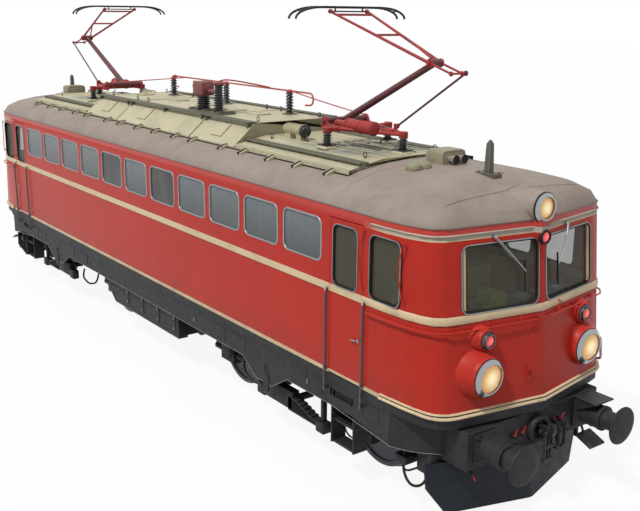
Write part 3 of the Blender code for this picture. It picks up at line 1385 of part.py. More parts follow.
def make_pantograph(end, x_sign):
    """A single-arm pantograph: base on insulators, lower arm, upper arm, head and guide rod."""
    pivot = Vector((ARM_PIVOT_X, 0, up(ARM_PIVOT_Z)))
    knee = pivot + Vector((math.cos(ARM_ANGLE), 0, math.sin(ARM_ANGLE))) * ARM_LENGTH
    tip = knee + Vector((math.cos(UPPER_ANGLE), 0, math.sin(UPPER_ANGLE))) * UPPER_LENGTH
    crank = knee + Vector((CRANK_X, 0, CRANK_Z))
    rod_pivot = Vector((ROD_PIVOT_X, 0, up(ROD_PIVOT_Z)))

    def add(name, forms, cuts, turning_point):
        forms = [mirrored(form, x_sign, x_sign) for form in forms]
        cuts = [mirrored(cut, x_sign, x_sign) for cut in cuts]
        origin = (turning_point.x * x_sign, 0, turning_point.z)
        piece(f"pantograph_{name}_{end}", forms, "panto_red", cuts, origin)

    add("base", *base_forms(pivot, rod_pivot), pivot)
    add("lower_arm", lower_arm_forms(pivot, knee), [], pivot)
    add("upper_arm", *upper_arm_forms(knee, tip, crank), knee)
    add("head", head_forms(tip), [], tip)
    add("rod", *rod_forms(rod_pivot, crank), rod_pivot)


def bore(centre, radius, low, high):
    """A cutter for a pin of this radius, with its running gap."""
    size = (radius + PIN_GAP) / math.cos(math.pi / PIN_STEPS)
    return spun([(low, size), (high, size)], (centre.x, 0, centre.z), "Y", PIN_STEPS)


def standing_forms(place, top):
    """An insulator on its pedestal, on a low hatch."""
    x, y = place
    deck = up(LOW_HATCH_TOP) + SEAT_GAP
    half = PEDESTAL_HALF
    rings = []
    for z, size in ((deck, half), (deck + PEDESTAL, half * 3 / 4)):
        signs = ((-1, -1), (1, -1), (1, 1), (-1, 1))
        rings.append([(x + size * x_sign, y + size * y_sign, z) for x_sign, y_sign in signs])
    return [loft(rings), insulator(place, deck + PEDESTAL / 2, top)]


def base_forms(pivot, rod_pivot):
    """The base frame on three insulators, with the arm's cheeks, the drive and the rod's bracket."""
    bottom, top = up(FRAME_BOTTOM), up(FRAME_TOP)
    beam_low = (FOOT_REAR_X - FRAME_HALF, -FOOT_REAR_Y - FRAME_HALF, bottom)
    forms = [block(beam_low, (FOOT_REAR_X + FRAME_HALF, FOOT_REAR_Y + FRAME_HALF, top))]
    cheek_in = ARM_SHAFT_HALF + SIDE_GAP
    for sign in (-1, 1):
        y = (cheek_in + CHEEK_THICK / 2) * sign
        low = (pivot.x - CHEEK_HALF, y - CHEEK_THICK / 2, bottom)
        forms.append(block(low, (FOOT_REAR_X, y + CHEEK_THICK / 2, top)))
        high = (pivot.x + CHEEK_HALF, y + CHEEK_THICK / 2, up(CHEEK_TOP))
        forms.append(block(low, high))
        outline = [(FOOT_REAR_X, y - FRAME_HALF * 2 * sign), (FOOT_REAR_X, y)]
        outline += [(FOOT_FRONT_X, FRAME_HALF * sign), (FOOT_FRONT_X, -FRAME_HALF * sign)]
        forms.append(prism(outline, bottom, top))
        forms += standing_forms((FOOT_REAR_X, FOOT_REAR_Y * sign), top - OVERRUN)
    forms += standing_forms((FOOT_FRONT_X, 0), top - OVERRUN)
    drive = [
        (DRIVE_REAR_X, DRIVE_TUBE_RADIUS),
        (DRIVE_MIDDLE_X, DRIVE_TUBE_RADIUS),
        (DRIVE_MIDDLE_X + DRIVE_TUBE_RADIUS, DRIVE_RADIUS),
        (DRIVE_FRONT_X, DRIVE_RADIUS),
    ]
    forms.append(spun(drive, (0, DRIVE_Y, up(DRIVE_Z)), "X", LAMP_STEPS))
    rod_in = ROD_Y - ROD_EYE_THICK / 2 - SIDE_GAP
    low = (rod_pivot.x - ROD_EYE, rod_in - CHEEK_THICK, bottom)
    forms.append(block(low, (rod_pivot.x + ROD_EYE, rod_in, rod_pivot.z + ROD_EYE)))
    pin = [(rod_in - CHEEK_THICK / 2, KNEE_PIN_RADIUS), (ROD_Y + ROD_EYE_THICK, KNEE_PIN_RADIUS)]
    forms.append(spun(pin, (rod_pivot.x, 0, rod_pivot.z), "Y", PIN_STEPS))
    cuts = [bore(pivot, ARM_PIN_RADIUS, -HALF_WIDTH, HALF_WIDTH)]
    return forms, cuts


def lower_arm_forms(pivot, knee):
    shaft = [(-ARM_SHAFT_HALF, ARM_SHAFT_RADIUS), (ARM_SHAFT_HALF, ARM_SHAFT_RADIUS)]
    pin_end = ARM_SHAFT_HALF + CHEEK_THICK + PLATE_THICK
    pin = [(-pin_end, ARM_PIN_RADIUS), (pin_end, ARM_PIN_RADIUS)]
    forms = [spun(shaft, (pivot.x, 0, pivot.z), "Y", PIN_STEPS)]
    forms.append(spun(pin, (pivot.x, 0, pivot.z), "Y", PIN_STEPS))
    forms.append(rod(pivot, knee, ARM_RADIUS, ARM_TIP_RADIUS))
    hub = [(-KNEE_HUB_HALF, KNEE_HUB_RADIUS), (KNEE_HUB_HALF, KNEE_HUB_RADIUS)]
    forms.append(spun(hub, (knee.x, 0, knee.z), "Y", PIN_STEPS))
    pin_end = KNEE_HUB_HALF + KNEE_PLATE + KNEE_PIN_RADIUS / 2
    pin = [(-pin_end, KNEE_PIN_RADIUS), (pin_end, KNEE_PIN_RADIUS)]
    forms.append(spun(pin, (knee.x, 0, knee.z), "Y", PIN_STEPS))
    return forms


def upper_arm_forms(knee, tip, crank):
    forms = []
    cuts = [bore(knee, KNEE_PIN_RADIUS, -HALF_WIDTH, HALF_WIDTH)]
    cuts.append(bore(tip, TIP_PIN_RADIUS, -HALF_WIDTH, HALF_WIDTH))
    plate_in = KNEE_HUB_HALF + SIDE_GAP
    plate_y = plate_in + KNEE_PLATE / 2
    pin_end = ROD_Y - ROD_EYE_THICK / 2 - SIDE_GAP
    cross = [(-plate_y, TIP_PIN_RADIUS), (pin_end, TIP_PIN_RADIUS)]
    forms.append(spun(cross, (crank.x, 0, crank.z), "Y", PIN_STEPS))
    for sign in (-1, 1):
        low, high = sorted((plate_in * sign, (plate_in + KNEE_PLATE) * sign))
        plate = [(low, KNEE_PLATE_RADIUS), (high, KNEE_PLATE_RADIUS)]
        forms.append(spun(plate, (knee.x, 0, knee.z), "Y", PIN_STEPS))
        eye = [(low, TIP_EYE_RADIUS), (high, TIP_EYE_RADIUS)]
        forms.append(spun(eye, (crank.x, 0, crank.z), "Y", PIN_STEPS))
        start, end = Vector((knee.x, plate_y * sign, knee.z)), Vector((crank.x, plate_y * sign, crank.z))
        ahead = (end - start).normalized() * KNEE_PLATE_RADIUS * 3 / 4
        forms.append(rod(start + ahead, end - ahead / 2, KNEE_PLATE / 2, None, 6))
        start = Vector((knee.x, (plate_in + UPPER_TUBE_RADIUS + SIDE_GAP) * sign, knee.z))
        end = Vector((tip.x, UPPER_TIP_Y * sign, tip.z))
        run = (end - start).normalized()
        foot = start + run * KNEE_PLATE_RADIUS * 3 / 4
        forms.append(rod(foot, end - run * TIP_EYE_RADIUS / 2, UPPER_TUBE_RADIUS))
        low, high = sorted(((UPPER_TIP_Y - KNEE_PLATE) * sign, (UPPER_TIP_Y + KNEE_PLATE / 2) * sign))
        eye = [(low, TIP_EYE_RADIUS), (high, TIP_EYE_RADIUS)]
        forms.append(spun(eye, (tip.x, 0, tip.z), "Y", PIN_STEPS))
    for share in UPPER_BRACE_SHARES:
        centre = knee.lerp(tip, share)
        reach = plate_y + (UPPER_TIP_Y - plate_y) * share
        low, high = (centre.x, -reach, centre.z), (centre.x, reach, centre.z)
        forms.append(rod(low, high, UPPER_TUBE_RADIUS * 3 / 4))
    return forms, cuts


def head_forms(tip):
    shoulder = UPPER_TIP_Y - KNEE_PLATE - SIDE_GAP
    shaft = [(shoulder, TIP_EYE_RADIUS * 2 / 3), (shoulder, TIP_PIN_RADIUS)]
    shaft.append((UPPER_TIP_Y + KNEE_PLATE, TIP_PIN_RADIUS))
    shaft = [(-y, radius) for y, radius in reversed(shaft)] + shaft
    forms = [spun(shaft, (tip.x, 0, tip.z), "Y", PIN_STEPS)]
    half = HEAD_BAR / 2
    top = tip.z + HEAD_RISE
    horn = top - HORN_DROP
    for sign in (-1, 1):
        x = tip.x + HEAD_BOW_SPACING / 2 * sign
        outline = bow_outline(top, horn)
        forms.append(prism(outline, x - half, x + half, "X"))
        y = HEAD_BRACKET_Y * sign
        low = (tip.x - HEAD_BOW_SPACING / 2, y - half, top - HEAD_BAR * 3 / 2)
        forms.append(block(low, (tip.x + HEAD_BOW_SPACING / 2, y + half, top - half)))
        low = (tip.x - half, y - half, tip.z - half)
        forms.append(block(low, (tip.x + half, y + half, top - HEAD_BAR)))
    return forms


def bow_outline(top, horn):
    """The collector strip, flat in the middle and curved down into a horn at each end."""
    upper = []
    for k in range(HORN_STEPS + 1):
        angle = math.pi / 2 * k / HORN_STEPS
        y = HEAD_FLAT_HALF + (HEAD_HALF - HEAD_FLAT_HALF) * math.sin(angle)
        upper.append((y, horn + (top - horn) * math.cos(angle)))
    lower = [(y - HEAD_BAR * (k / HORN_STEPS), max(z - HEAD_BAR, horn)) for k, (y, z) in enumerate(upper)]
    half = upper + lower[::-1][1:]
    left = [(-y, z) for y, z in upper][::-1]
    left_lower = [(-y, z) for y, z in lower[:-1]]
    return left + half + left_lower


def rod_forms(rod_pivot, crank):
    """The guide rod: its lower eye turns on the base, its upper eye lies beside the crank."""
    forms = []
    low, high = ROD_Y - ROD_EYE_THICK / 2, ROD_Y + ROD_EYE_THICK / 2
    start = Vector((rod_pivot.x, ROD_Y, rod_pivot.z))
    end = Vector((crank.x, ROD_Y, crank.z))
    run = (end - start).normalized()
    forms.append(rod(start + run * ROD_EYE * 4 / 5, end - run * ROD_EYE * 4 / 5, ROD_RADIUS))
    for centre in (rod_pivot, crank):
        forms.append(spun([(low, ROD_EYE), (high, ROD_EYE)], (centre.x, 0, centre.z), "Y", PIN_STEPS))
    return forms, [bore(rod_pivot, KNEE_PIN_RADIUS, low - OVERRUN, high + OVERRUN)]


def make_roof_gear():
    """The busbar on its posts and the circuit breaker beside it."""
    deck = up(HIGH_HATCH_TOP) + SEAT_GAP
    bus = rod((-BUS_HALF, BUS_Y, up(BUS_Z)), (BUS_HALF, BUS_Y, up(BUS_Z)), BUS_RADIUS)
    forms = [bus] + [insulator((BUS_HALF * share, BUS_Y), deck, up(BUS_Z)) for share in BUS_POST_SHARES]
    piece("roof_busbar", forms, "panto_red")
    half, wide = BREAKER_LENGTH / 2, BREAKER_WIDTH / 2
    low = (BREAKER_X - half, BREAKER_Y - wide, deck)
    base_top = deck + BREAKER_BASE
    forms = [block(low, (BREAKER_X + half, BREAKER_Y + wide, base_top))]
    near, far = BREAKER_X - half / 2, BREAKER_X + half / 2
    post_top = base_top + BREAKER_POST
    post_low = base_top - BREAKER_BASE / 2
    forms.append(ribbed((near, BREAKER_Y), post_low, post_top, BREAKER_SHED, BREAKER_CORE))
    low = (near - BREAKER_HOUSING_HALF, BREAKER_Y - BREAKER_HOUSING_WIDE, post_top - BREAKER_BASE)
    high = (near + BREAKER_HOUSING_HALF, BREAKER_Y + BREAKER_HOUSING_WIDE, post_top + BREAKER_HOUSING_HIGH)
    forms.append(block(low, high))
    middle = post_top + BREAKER_HOUSING_HIGH / 2
    cone = [(low[0] - BREAKER_CONE, BREAKER_CONE_RADIUS / 2), (low[0] + BREAKER_BASE, BREAKER_CONE_RADIUS)]
    forms.append(spun(cone, (0, BREAKER_Y, middle), "X", SPRING_STEPS))
    tall_top = base_top + BREAKER_TALL_POST
    place = (far, BREAKER_Y)
    forms.append(ribbed(place, base_top - BREAKER_BASE / 2, tall_top, BREAKER_TALL_SHED, BREAKER_TALL_CORE))
    arm = [(near, BREAKER_ARM_RADIUS), (far, BREAKER_ARM_RADIUS)]
    forms.append(spun(arm, (0, BREAKER_Y, post_top + BREAKER_ARM_RADIUS), "X", SPRING_STEPS))
    piece("circuit_breaker", forms, "steel")


clear_scene()
PAINT = make_materials()
make_underframe()
make_roof()
make_hatches()
for wall_side, wall_sign in (("right", -1), ("left", 1)):
    make_side_wall(wall_side, wall_sign)
    make_skirt(wall_side, wall_sign)
for cab_end, cab_sign in (("front", 1), ("rear", -1)):
    make_body_shell(cab_end, cab_sign)
    make_cab_interior(cab_end, cab_sign)
    make_ends(cab_end, cab_sign)
    make_bogie(cab_end, cab_sign)
    make_pantograph(cab_end, cab_sign)
make_doors()
make_underfloor()
make_transformer()
make_roof_gear()
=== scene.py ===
"""The looks of a four-axle electric locomotive: its finishes, its fine surfaces and its fittings.

+X points to the front cab, +Y to the left side and +Z up, in metres. Every surface is worked out
with numpy: a form is an array of points, with heights above the rail, and a list of faces. made()
joins forms into one piece and lifts it into the frame, whose origin is under the wheel flanges.
"""

import math

import bmesh
import bpy
import numpy as np
from mathutils import Matrix, Vector


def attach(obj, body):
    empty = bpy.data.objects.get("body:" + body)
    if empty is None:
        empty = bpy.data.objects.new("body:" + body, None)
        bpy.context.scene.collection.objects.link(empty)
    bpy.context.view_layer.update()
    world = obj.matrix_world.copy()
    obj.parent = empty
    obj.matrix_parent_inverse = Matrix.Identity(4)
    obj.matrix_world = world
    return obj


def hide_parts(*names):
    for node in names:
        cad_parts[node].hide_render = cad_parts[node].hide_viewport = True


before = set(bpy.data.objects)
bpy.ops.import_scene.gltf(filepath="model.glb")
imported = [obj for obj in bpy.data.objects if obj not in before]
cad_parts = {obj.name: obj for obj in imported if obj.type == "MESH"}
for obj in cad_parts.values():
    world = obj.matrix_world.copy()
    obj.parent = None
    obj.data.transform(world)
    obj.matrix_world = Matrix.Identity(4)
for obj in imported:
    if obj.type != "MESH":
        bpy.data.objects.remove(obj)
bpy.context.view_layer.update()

# Heights and places shared with the frame
RAIL = 0.028
HALF_WIDTH = 1.56
BODY_BOTTOM = 1.43
HEADSTOCK_X = 7.49
HEADSTOCK_FACE = HEADSTOCK_X + 0.0005
CAB_REAR_X = 6.056
NOSE_APEX_X, NOSE_LEAN, NOSE_SLOPE, NOSE_FACE_Y = 7.58, 0.10, 0.175, 1.14
PIVOT_X, HALF_WHEELBASE = 3.90, 1.70
WHEEL_RADIUS = 0.625
COUPLER_HEIGHT, BUFFER_Y = 1.05, 0.875
HATCH_EDGES_X = (-5.83, -3.08, -1.69, 1.06, 2.45, 5.20)
CORNER_START, CORNER_PULL = (7.10, 1.49), (7.35, 1.45)
FLANK_START_X, FLANK_MID = 6.43, (6.85, 1.53)
POD_RIM = 0.025
HEADLAMP = (0.88, 1.89, 0.24, 7.50)
TAIL_LAMP = (0.85, 2.31, 0.125, 7.42)
TOP_LAMP = (0, 3.72, 0.19, 7.385)
MARKER_HEIGHT = 3.387
WINDOW_LOW, WINDOW_HIGH, WINDOW_CORNER = 2.62, 3.38, 0.09
WINDSCREEN_MIDDLE_Y, WINDSCREEN_HALF_WIDTH = 0.59, 0.528
CAB_WINDOW_X, DOOR_WINDOW_X = (6.18, 6.70), (5.49, 5.95)
SIDE_WINDOW_COUNT, SIDE_WINDOW_PITCH, SIDE_WINDOW_WIDTH = 11, 0.965, 0.83
SIDE_WINDOW_LOW, SIDE_WINDOW_HIGH = 2.84, 3.40
DARK_WINDOWS = (4, 6)
BOX_DEPTH = 1.44 - HALF_WIDTH
SKIRT_DEPTH = -0.015
ARM_PIVOT, ARM_LENGTH, ARM_ANGLE = (3.70, 0, 4.36), 2.00, math.radians(26.05)
UPPER_LENGTH, UPPER_ANGLE = 1.862, math.radians(160.8)
CRANK, ROD_PIVOT = (0.384, 0, -0.11), (4.643, 0, 4.352)
BUSBAR_Y, BUSBAR_POSTS_X = 0.42, (-2.303, -0.3055, 1.692)
DESK_TOP = 2.42

# Fineness of round forms
ROUND = 48
FINE = 24
SMALL = 12
EDGE_STEPS = 2
SHARP = math.radians(35)

SIGNS = (-1, 1)
ENDS = (("front", 1), ("rear", -1))
AXIS_ORDER = {"X": [0, 1, 2], "Y": [2, 0, 1], "Z": [1, 2, 0]}


# Forms


def ring_faces(levels, around):
    """Quads between successive rings, each of so many points."""
    level, k = np.meshgrid(np.arange(levels - 1), np.arange(around), indexing="ij")
    low, high, beside = level * around, (level + 1) * around, (k + 1) % around
    return np.stack([low + k, low + beside, high + beside, high + k], -1).reshape(-1, 4).tolist()


def lofted(rings):
    """Rings (levels, around, 3) joined in order, with a flat cap on the first and the last."""
    rings = np.asarray(rings, float)
    levels, around = rings.shape[:2]
    last = (levels - 1) * around
    caps = [list(range(around))[::-1], list(range(last, last + around))]
    return rings.reshape(-1, 3), ring_faces(levels, around) + caps


def looped(rings):
    """Rings joined in order and the last to the first, as a torus is."""
    rings = np.asarray(rings, float)
    around = rings.shape[1]
    faces = np.array(ring_faces(len(rings) + 1, around)) % (len(rings) * around)
    return rings.reshape(-1, 3), faces.tolist()


def moved(form, by):
    """A form shifted by an offset."""
    return form[0] + np.asarray(by, float), form[1]


def at_end(forms, x_sign, y_sign=1):
    """Forms of the front end, with X and Y times their signs."""
    return [(form[0] * (x_sign, y_sign, 1), form[1]) for form in forms]


def both_ends(forms):
    """Forms of the front end with their mirror images at the rear."""
    return list(forms) + at_end(forms, -1)


def both_sides(forms):
    """Forms of the +Y side with their mirror images."""
    return list(forms) + at_end(forms, 1, -1)


def level(outline, height):
    """A flat outline as a ring at a height."""
    return np.column_stack([outline, np.broadcast_to(height, len(outline))])


def prism(outline, low, high, along):
    """An outline swept straight along one axis, its coordinates on the other two in X, Y, Z order."""
    order = {"X": (2, 0, 1), "Y": (0, 2, 1), "Z": (0, 1, 2)}[along]
    return lofted([level(outline, end)[:, order] for end in (low, high)])


def round_rectangle(low, high, corner, steps=6):
    """A rectangle's outline with a quarter circle at each corner."""
    turn = np.arange(4)[:, None] * math.pi / 2 + np.linspace(0, math.pi / 2, steps)
    x = np.array([high[0] - corner, low[0] + corner, low[0] + corner, high[0] - corner])[:, None]
    y = np.array([high[1] - corner, high[1] - corner, low[1] + corner, low[1] + corner])[:, None]
    return np.stack([x + corner * np.cos(turn), y + corner * np.sin(turn)], -1).reshape(-1, 2)


def round_panel(centre, half, corner, steps=3):
    """A round rectangle by its centre and its half sizes."""
    centre, half = np.array(centre), np.array(half)
    return round_rectangle(centre - half, centre + half, corner, steps)


def bar(low, high, edge=0.006):
    """A block with rounded edges: round rectangles stacked in Z, whose corner radius is the edge
    times the sine of a turn that ends at both faces."""
    low, high = np.minimum(low, high), np.maximum(low, high)
    edge = min(edge, (high - low).min() * 0.45)
    turn = np.linspace(0.35, math.pi / 2, EDGE_STEPS + 1)
    turn = np.concatenate([turn, turn[::-1]])
    rise = edge * (1 - np.cos(turn))
    rise -= rise[0]
    z = np.where(np.arange(len(turn)) <= EDGE_STEPS, low[2] + rise, high[2] - rise)
    inner = round_rectangle(low[:2] + edge, high[:2] - edge, 0, EDGE_STEPS + 1)
    outward = round_rectangle((-1, -1), (1, 1), 1, EDGE_STEPS + 1)
    rings = inner + edge * np.sin(turn)[:, None, None] * outward
    return lofted(np.concatenate([rings, np.broadcast_to(z[:, None, None], rings[..., :1].shape)], -1))


def spun(section, centre, along, steps):
    """The points of a section of (distance, radius), each turned round an axis through a centre."""
    section = np.asarray(section, float)
    angle = np.arange(steps) * math.tau / steps
    distance = np.broadcast_to(section[:, :1], (len(section), steps))
    local = np.stack([distance, section[:, 1:] * np.cos(angle), section[:, 1:] * np.sin(angle)], -1)
    return local[..., AXIS_ORDER[along]] + np.asarray(centre, float)


def turned(profile, centre, along, steps=FINE):
    """A profile of (distance, radius) turned round an axis, closed at both ends."""
    return lofted(spun(profile, centre, along, steps))


def hoop(section, centre, along, steps=ROUND):
    """A closed section of (distance, radius) turned round an axis, as a torus is."""
    return looped(np.swapaxes(spun(section, centre, along, steps), 0, 1))


def directions(path):
    """The unit direction of travel at each point of a path."""
    ahead = np.gradient(path, axis=0)
    return ahead / np.linalg.norm(ahead, axis=1)[:, None]


def circles(path, first, second, radius, sides):
    """Circles round the points of a path, in the plane of two unit vectors at each point."""
    angle = np.arange(sides) * math.tau / sides
    circle = first[:, None] * np.cos(angle)[:, None] + second[:, None] * np.sin(angle)[:, None]
    return lofted(path[:, None] + circle * np.broadcast_to(radius, len(path))[:, None, None])


def pipe(path, radius, sides=SMALL):
    """A circle carried along a path: across it lies the normal of the path's own flattest plane."""
    path = np.asarray(path, float)
    flat = np.linalg.svd(path - path.mean(0))[2][2]
    ahead = directions(path)
    across = flat - ahead * (ahead @ flat)[:, None]
    across /= np.linalg.norm(across, axis=1)[:, None]
    return circles(path, across, np.cross(ahead, across), radius, sides)


def rod(start, end, radius, end_radius=None, sides=SMALL):
    """A straight round bar, tapered where an end radius is given."""
    path = np.linspace(start, end, 3)
    return pipe(path, np.linspace(radius, radius if end_radius is None else end_radius, 3), sides)


def softened(points, radius, steps=5):
    """A path through the points, with each inner corner a parabola that starts a radius from it."""
    points = np.asarray(points, float)
    path = [points[:1]]
    share = np.linspace(0, 1, steps)[:, None]
    for before, corner, after in zip(points, points[1:], points[2:]):
        arms = (before - corner, after - corner)
        start, end = [corner + arm * min(radius / np.linalg.norm(arm), 0.49) for arm in arms]
        path.append((1 - share) ** 2 * start + 2 * share * (1 - share) * corner + share**2 * end)
    return np.concatenate(path + [points[-1:]])


def helix(centre, radius, low, high, turns, wire, sides=6, steps=10):
    """A wire wound round an upright axis: the angle and the height both grow along it."""
    angle = np.linspace(0, math.tau * turns, int(turns * steps) + 1)
    outward = level(np.column_stack([np.cos(angle), np.sin(angle)]), 0)
    path = outward * radius + level(np.broadcast_to(centre, (len(angle), 2)), 0)
    path[:, 2] = np.linspace(low, high, len(angle))
    return circles(path, outward, np.cross(directions(path), outward), wire, sides)


def moulding(outline, section, place):
    """A closed section of (outward, depth) carried round a closed outline, set down by a place."""
    outline, section = np.asarray(outline, float), np.asarray(section, float)
    ahead = np.roll(outline, -1, 0) - np.roll(outline, 1, 0)
    outward = np.column_stack([ahead[:, 1], -ahead[:, 0]])
    outward /= np.linalg.norm(outward, axis=1)[:, None]
    across = outline[:, None] + outward[:, None] * section[None, :, :1]
    depth = np.broadcast_to(section[None, :, 1], across.shape[:2])
    return looped(place(across[..., 0], across[..., 1], depth))


def plate(outline, low, high, place):
    """An outline made solid between two depths, and set down by a place."""
    outline = np.asarray(outline, float)
    return lofted([place(*outline.T, np.full(len(outline), depth)) for depth in (low, high)])


def bolts(places, axis, radius=0.013, height=0.012):
    """A six-sided bolt head at each place, standing along an axis."""
    profile = [(-height, radius), (height * 0.7, radius), (height, radius * 0.75)]
    return [turned(profile, place, axis, 6) for place in places]


# Finishes


def seen(red, green, blue):
    """A colour as it is seen, in parts of 255, as the linear colour that a shader takes."""
    share = np.array([red, green, blue]) / 255
    linear = np.where(share <= 0.04045, share / 12.92, ((share + 0.055) / 1.055) ** 2.4)
    return (*linear.tolist(), 1.0)


class Finish:
    """A material being put together. Each call adds nodes and gives back what they make. A colour
    is given as three parts of 255."""

    def __init__(self, name, roughness=0.5, metallic=0.0, **sockets):
        self.material = bpy.data.materials.new(name)
        self.material.use_nodes = True
        self.tree = self.material.node_tree
        self.shader = self.tree.nodes["Principled BSDF"]
        self.object_space = self.tree.nodes.new("ShaderNodeTexCoord").outputs["Object"]
        axes = self.node("ShaderNodeSeparateXYZ", Vector=self.object_space).outputs
        self.x, self.y, self.height = axes["X"], axes["Y"], axes["Z"]
        self.shader.inputs["Roughness"].default_value = roughness
        self.shader.inputs["Metallic"].default_value = metallic
        for socket, value in sockets.items():
            self.shader.inputs[socket.replace("_", " ")].default_value = value

    def node(self, kind, settings=(), **inputs):
        """A new node of a kind, with its settings and its inputs by name."""
        made_node = self.tree.nodes.new(kind)
        for setting, value in dict(settings).items():
            setattr(made_node, setting, value)
        for socket, value in inputs.items():
            self.feed(made_node.inputs[socket.replace("_", " ")], value)
        return made_node

    def feed(self, socket, value):
        """Links an output to a socket, or sets a colour or a number on it."""
        if isinstance(value, bpy.types.NodeSocket):
            self.tree.links.new(value, socket)
        elif socket.type == "RGBA":
            socket.default_value = seen(*value)
        else:
            socket.default_value = value

    def maths(self, operation, first, second=0.0, clamp=False):
        """One step of arithmetic on one or two values."""
        made_node = self.node("ShaderNodeMath", {"operation": operation, "use_clamp": clamp})
        self.feed(made_node.inputs[0], first)
        self.feed(made_node.inputs[1], second)
        return made_node.outputs[0]

    def scaled(self, value, share, base=None):
        """The value times a share, plus a base where there is one."""
        value = self.maths("MULTIPLY", value, share)
        return value if base is None else self.maths("ADD", value, base)

    def larger(self, first, second):
        """The larger of two values."""
        return self.maths("MAXIMUM", first, second)

    def size(self, value):
        """A value without its sign."""
        return self.maths("ABSOLUTE", value)

    def noise(self, scale, detail=3.0, stretch=(1, 1, 1), roughness=0.55):
        """Cloudy noise from 0 to 1, so many per metre, squeezed along each axis by its stretch."""
        mapping = self.node("ShaderNodeMapping", Vector=self.object_space, Scale=stretch)
        clouds = self.node("ShaderNodeTexNoise", Vector=mapping.outputs[0], Scale=scale, Detail=detail)
        clouds.inputs["Roughness"].default_value = roughness
        return clouds.outputs["Fac"]

    def between(self, value, low, high):
        """0 below low and 1 above high, smooth in between. It falls where low is above high."""
        rising = low < high
        ends = {"From Min": min(low, high), "From Max": max(low, high), "To Min": not rising,
                "To Max": rising}
        made_node = self.node("ShaderNodeMapRange", {"interpolation_type": "SMOOTHSTEP"})
        self.feed(made_node.inputs["Value"], value)
        for socket, end in ends.items():
            made_node.inputs[socket].default_value = end
        return made_node.outputs["Result"]

    def band(self, value, low, high, soft=0.002):
        """1 from low to high and 0 outside."""
        rise, fall = (low - soft, low + soft), (high + soft, high - soft)
        return self.scaled(self.between(value, *rise), self.between(value, *fall))

    def level_band(self, low, high):
        """1 between two heights above the rail."""
        return self.band(self.height, RAIL + low, RAIL + high)

    def patches(self, scale, detail, low, high, share=None, roughness=0.55, stretch=(1, 1, 1)):
        """Cloudy patches: 0 where the noise is below low, and a share where it is above high."""
        spread = self.between(self.noise(scale, detail, stretch, roughness), low, high)
        return spread if share is None else self.scaled(spread, share)

    def mixed(self, share, first, second):
        """The first colour turning into the second by a share."""
        mix = self.node("ShaderNodeMix", {"data_type": "RGBA"})
        for socket, value in zip((0, 6, 7), (share, first, second)):
            self.feed(mix.inputs[socket], value)
        return mix.outputs[2]

    def shaded(self, colour, light, share):
        """The colour made lighter and darker by clouds, up to a share of it."""
        grey = self.scaled(light, 2 * share, 1 - share)
        grey = self.node("ShaderNodeCombineColor", Red=grey, Green=grey, Blue=grey).outputs[0]
        mix = self.node("ShaderNodeMix", {"data_type": "RGBA", "blend_type": "MULTIPLY"})
        for socket, value in zip((0, 6, 7), (1.0, colour, grey)):
            self.feed(mix.inputs[socket], value)
        return mix.outputs[2]

    def mottled(self, colour, *clouds):
        """The colour shaded by one noise after another, each given by its scale, detail and share."""
        for scale, detail, share in clouds:
            colour = self.shaded(colour, self.noise(scale, detail), share)
        return colour

    def relief(self, height, depth, after=None):
        """A bump so many metres deep, laid over an earlier one where there is one."""
        bump = self.node("ShaderNodeBump", Height=height, Distance=depth)
        if after is not None:
            self.feed(bump.inputs["Normal"], after)
        return bump.outputs[0]

    def done(self, colour, roughness=None, normal=None):
        """The material, with its colour, roughness and normal in place."""
        for socket, value in (("Base Color", colour), ("Roughness", roughness), ("Normal", normal)):
            if value is not None:
                self.feed(self.shader.inputs[socket], value)
        return self.material


def paint(name, colour, roughness=0.45, dirt=(70, 62, 54), dirt_share=0.35, cloud_scale=1.5, **sockets):
    """Weathered paint: broad fading, fine mottle, thin dust in clouds and a slight orange peel."""
    f = Finish(name, roughness, **sockets)
    fine = f.noise(22.0, 4.0)
    tone = f.shaded(f.mottled(colour, (cloud_scale, 4.0, 0.14)), fine, 0.10)
    dust = f.patches(3.1, 6.0, 0.48, 0.75, dirt_share, 0.7)
    specks = f.patches(60.0, 2.0, 0.66, 0.74, 0.25)
    tone = f.mixed(f.maths("ADD", dust, specks, clamp=True), tone, dirt)
    return f.done(tone, f.scaled(fine, 0.22, roughness - 0.08), f.relief(f.noise(140.0, 2.0), 0.0006))


def body_paint():
    """Red enamel with cream bands by height, painted shade lines along the belt bead's edges, rain streaks,
    and brake dust that climbs from below.
    """
    f = Finish("body_enamel", 0.36, Specular_IOR_Level=0.13)
    red = f.mottled((186, 49, 37), (0.8, 3.0, 0.12), (9.0, 5.0, 0.08))
    red = f.mixed(f.patches(6.0, 5.0, 0.52, 0.80, 0.22, 0.7, (1.0, 1.0, 0.08)), red, (122, 52, 42))
    cream = f.mottled((215, 192, 155), (7.0, 5.0, 0.10))
    belt, sill = f.level_band(2.512, 2.608), f.level_band(1.40, 1.484)
    gutter = f.scaled(f.level_band(3.445, 3.475), f.between(f.size(f.x), 6.0, 6.5))
    # Painted shade: thin dark red lines just under and just over the belt's bead.
    lines = f.larger(f.level_band(2.496, 2.512), f.level_band(2.608, 2.618))
    red = f.mixed(f.scaled(lines, 0.45), red, (96, 30, 26))
    tone = f.mixed(f.larger(f.larger(belt, sill), gutter), red, cream)
    low = f.between(f.height, RAIL + 1.95, RAIL + 1.40)
    climb = f.scaled(f.scaled(low, f.patches(2.6, 6.0, 0.30, 0.75, roughness=0.7)), 0.35)
    tone = f.mixed(climb, tone, (96, 62, 50))
    return f.done(tone, f.scaled(f.noise(14.0, 4.0), 0.2, 0.22), f.relief(f.noise(90.0, 2.0), 0.0006))


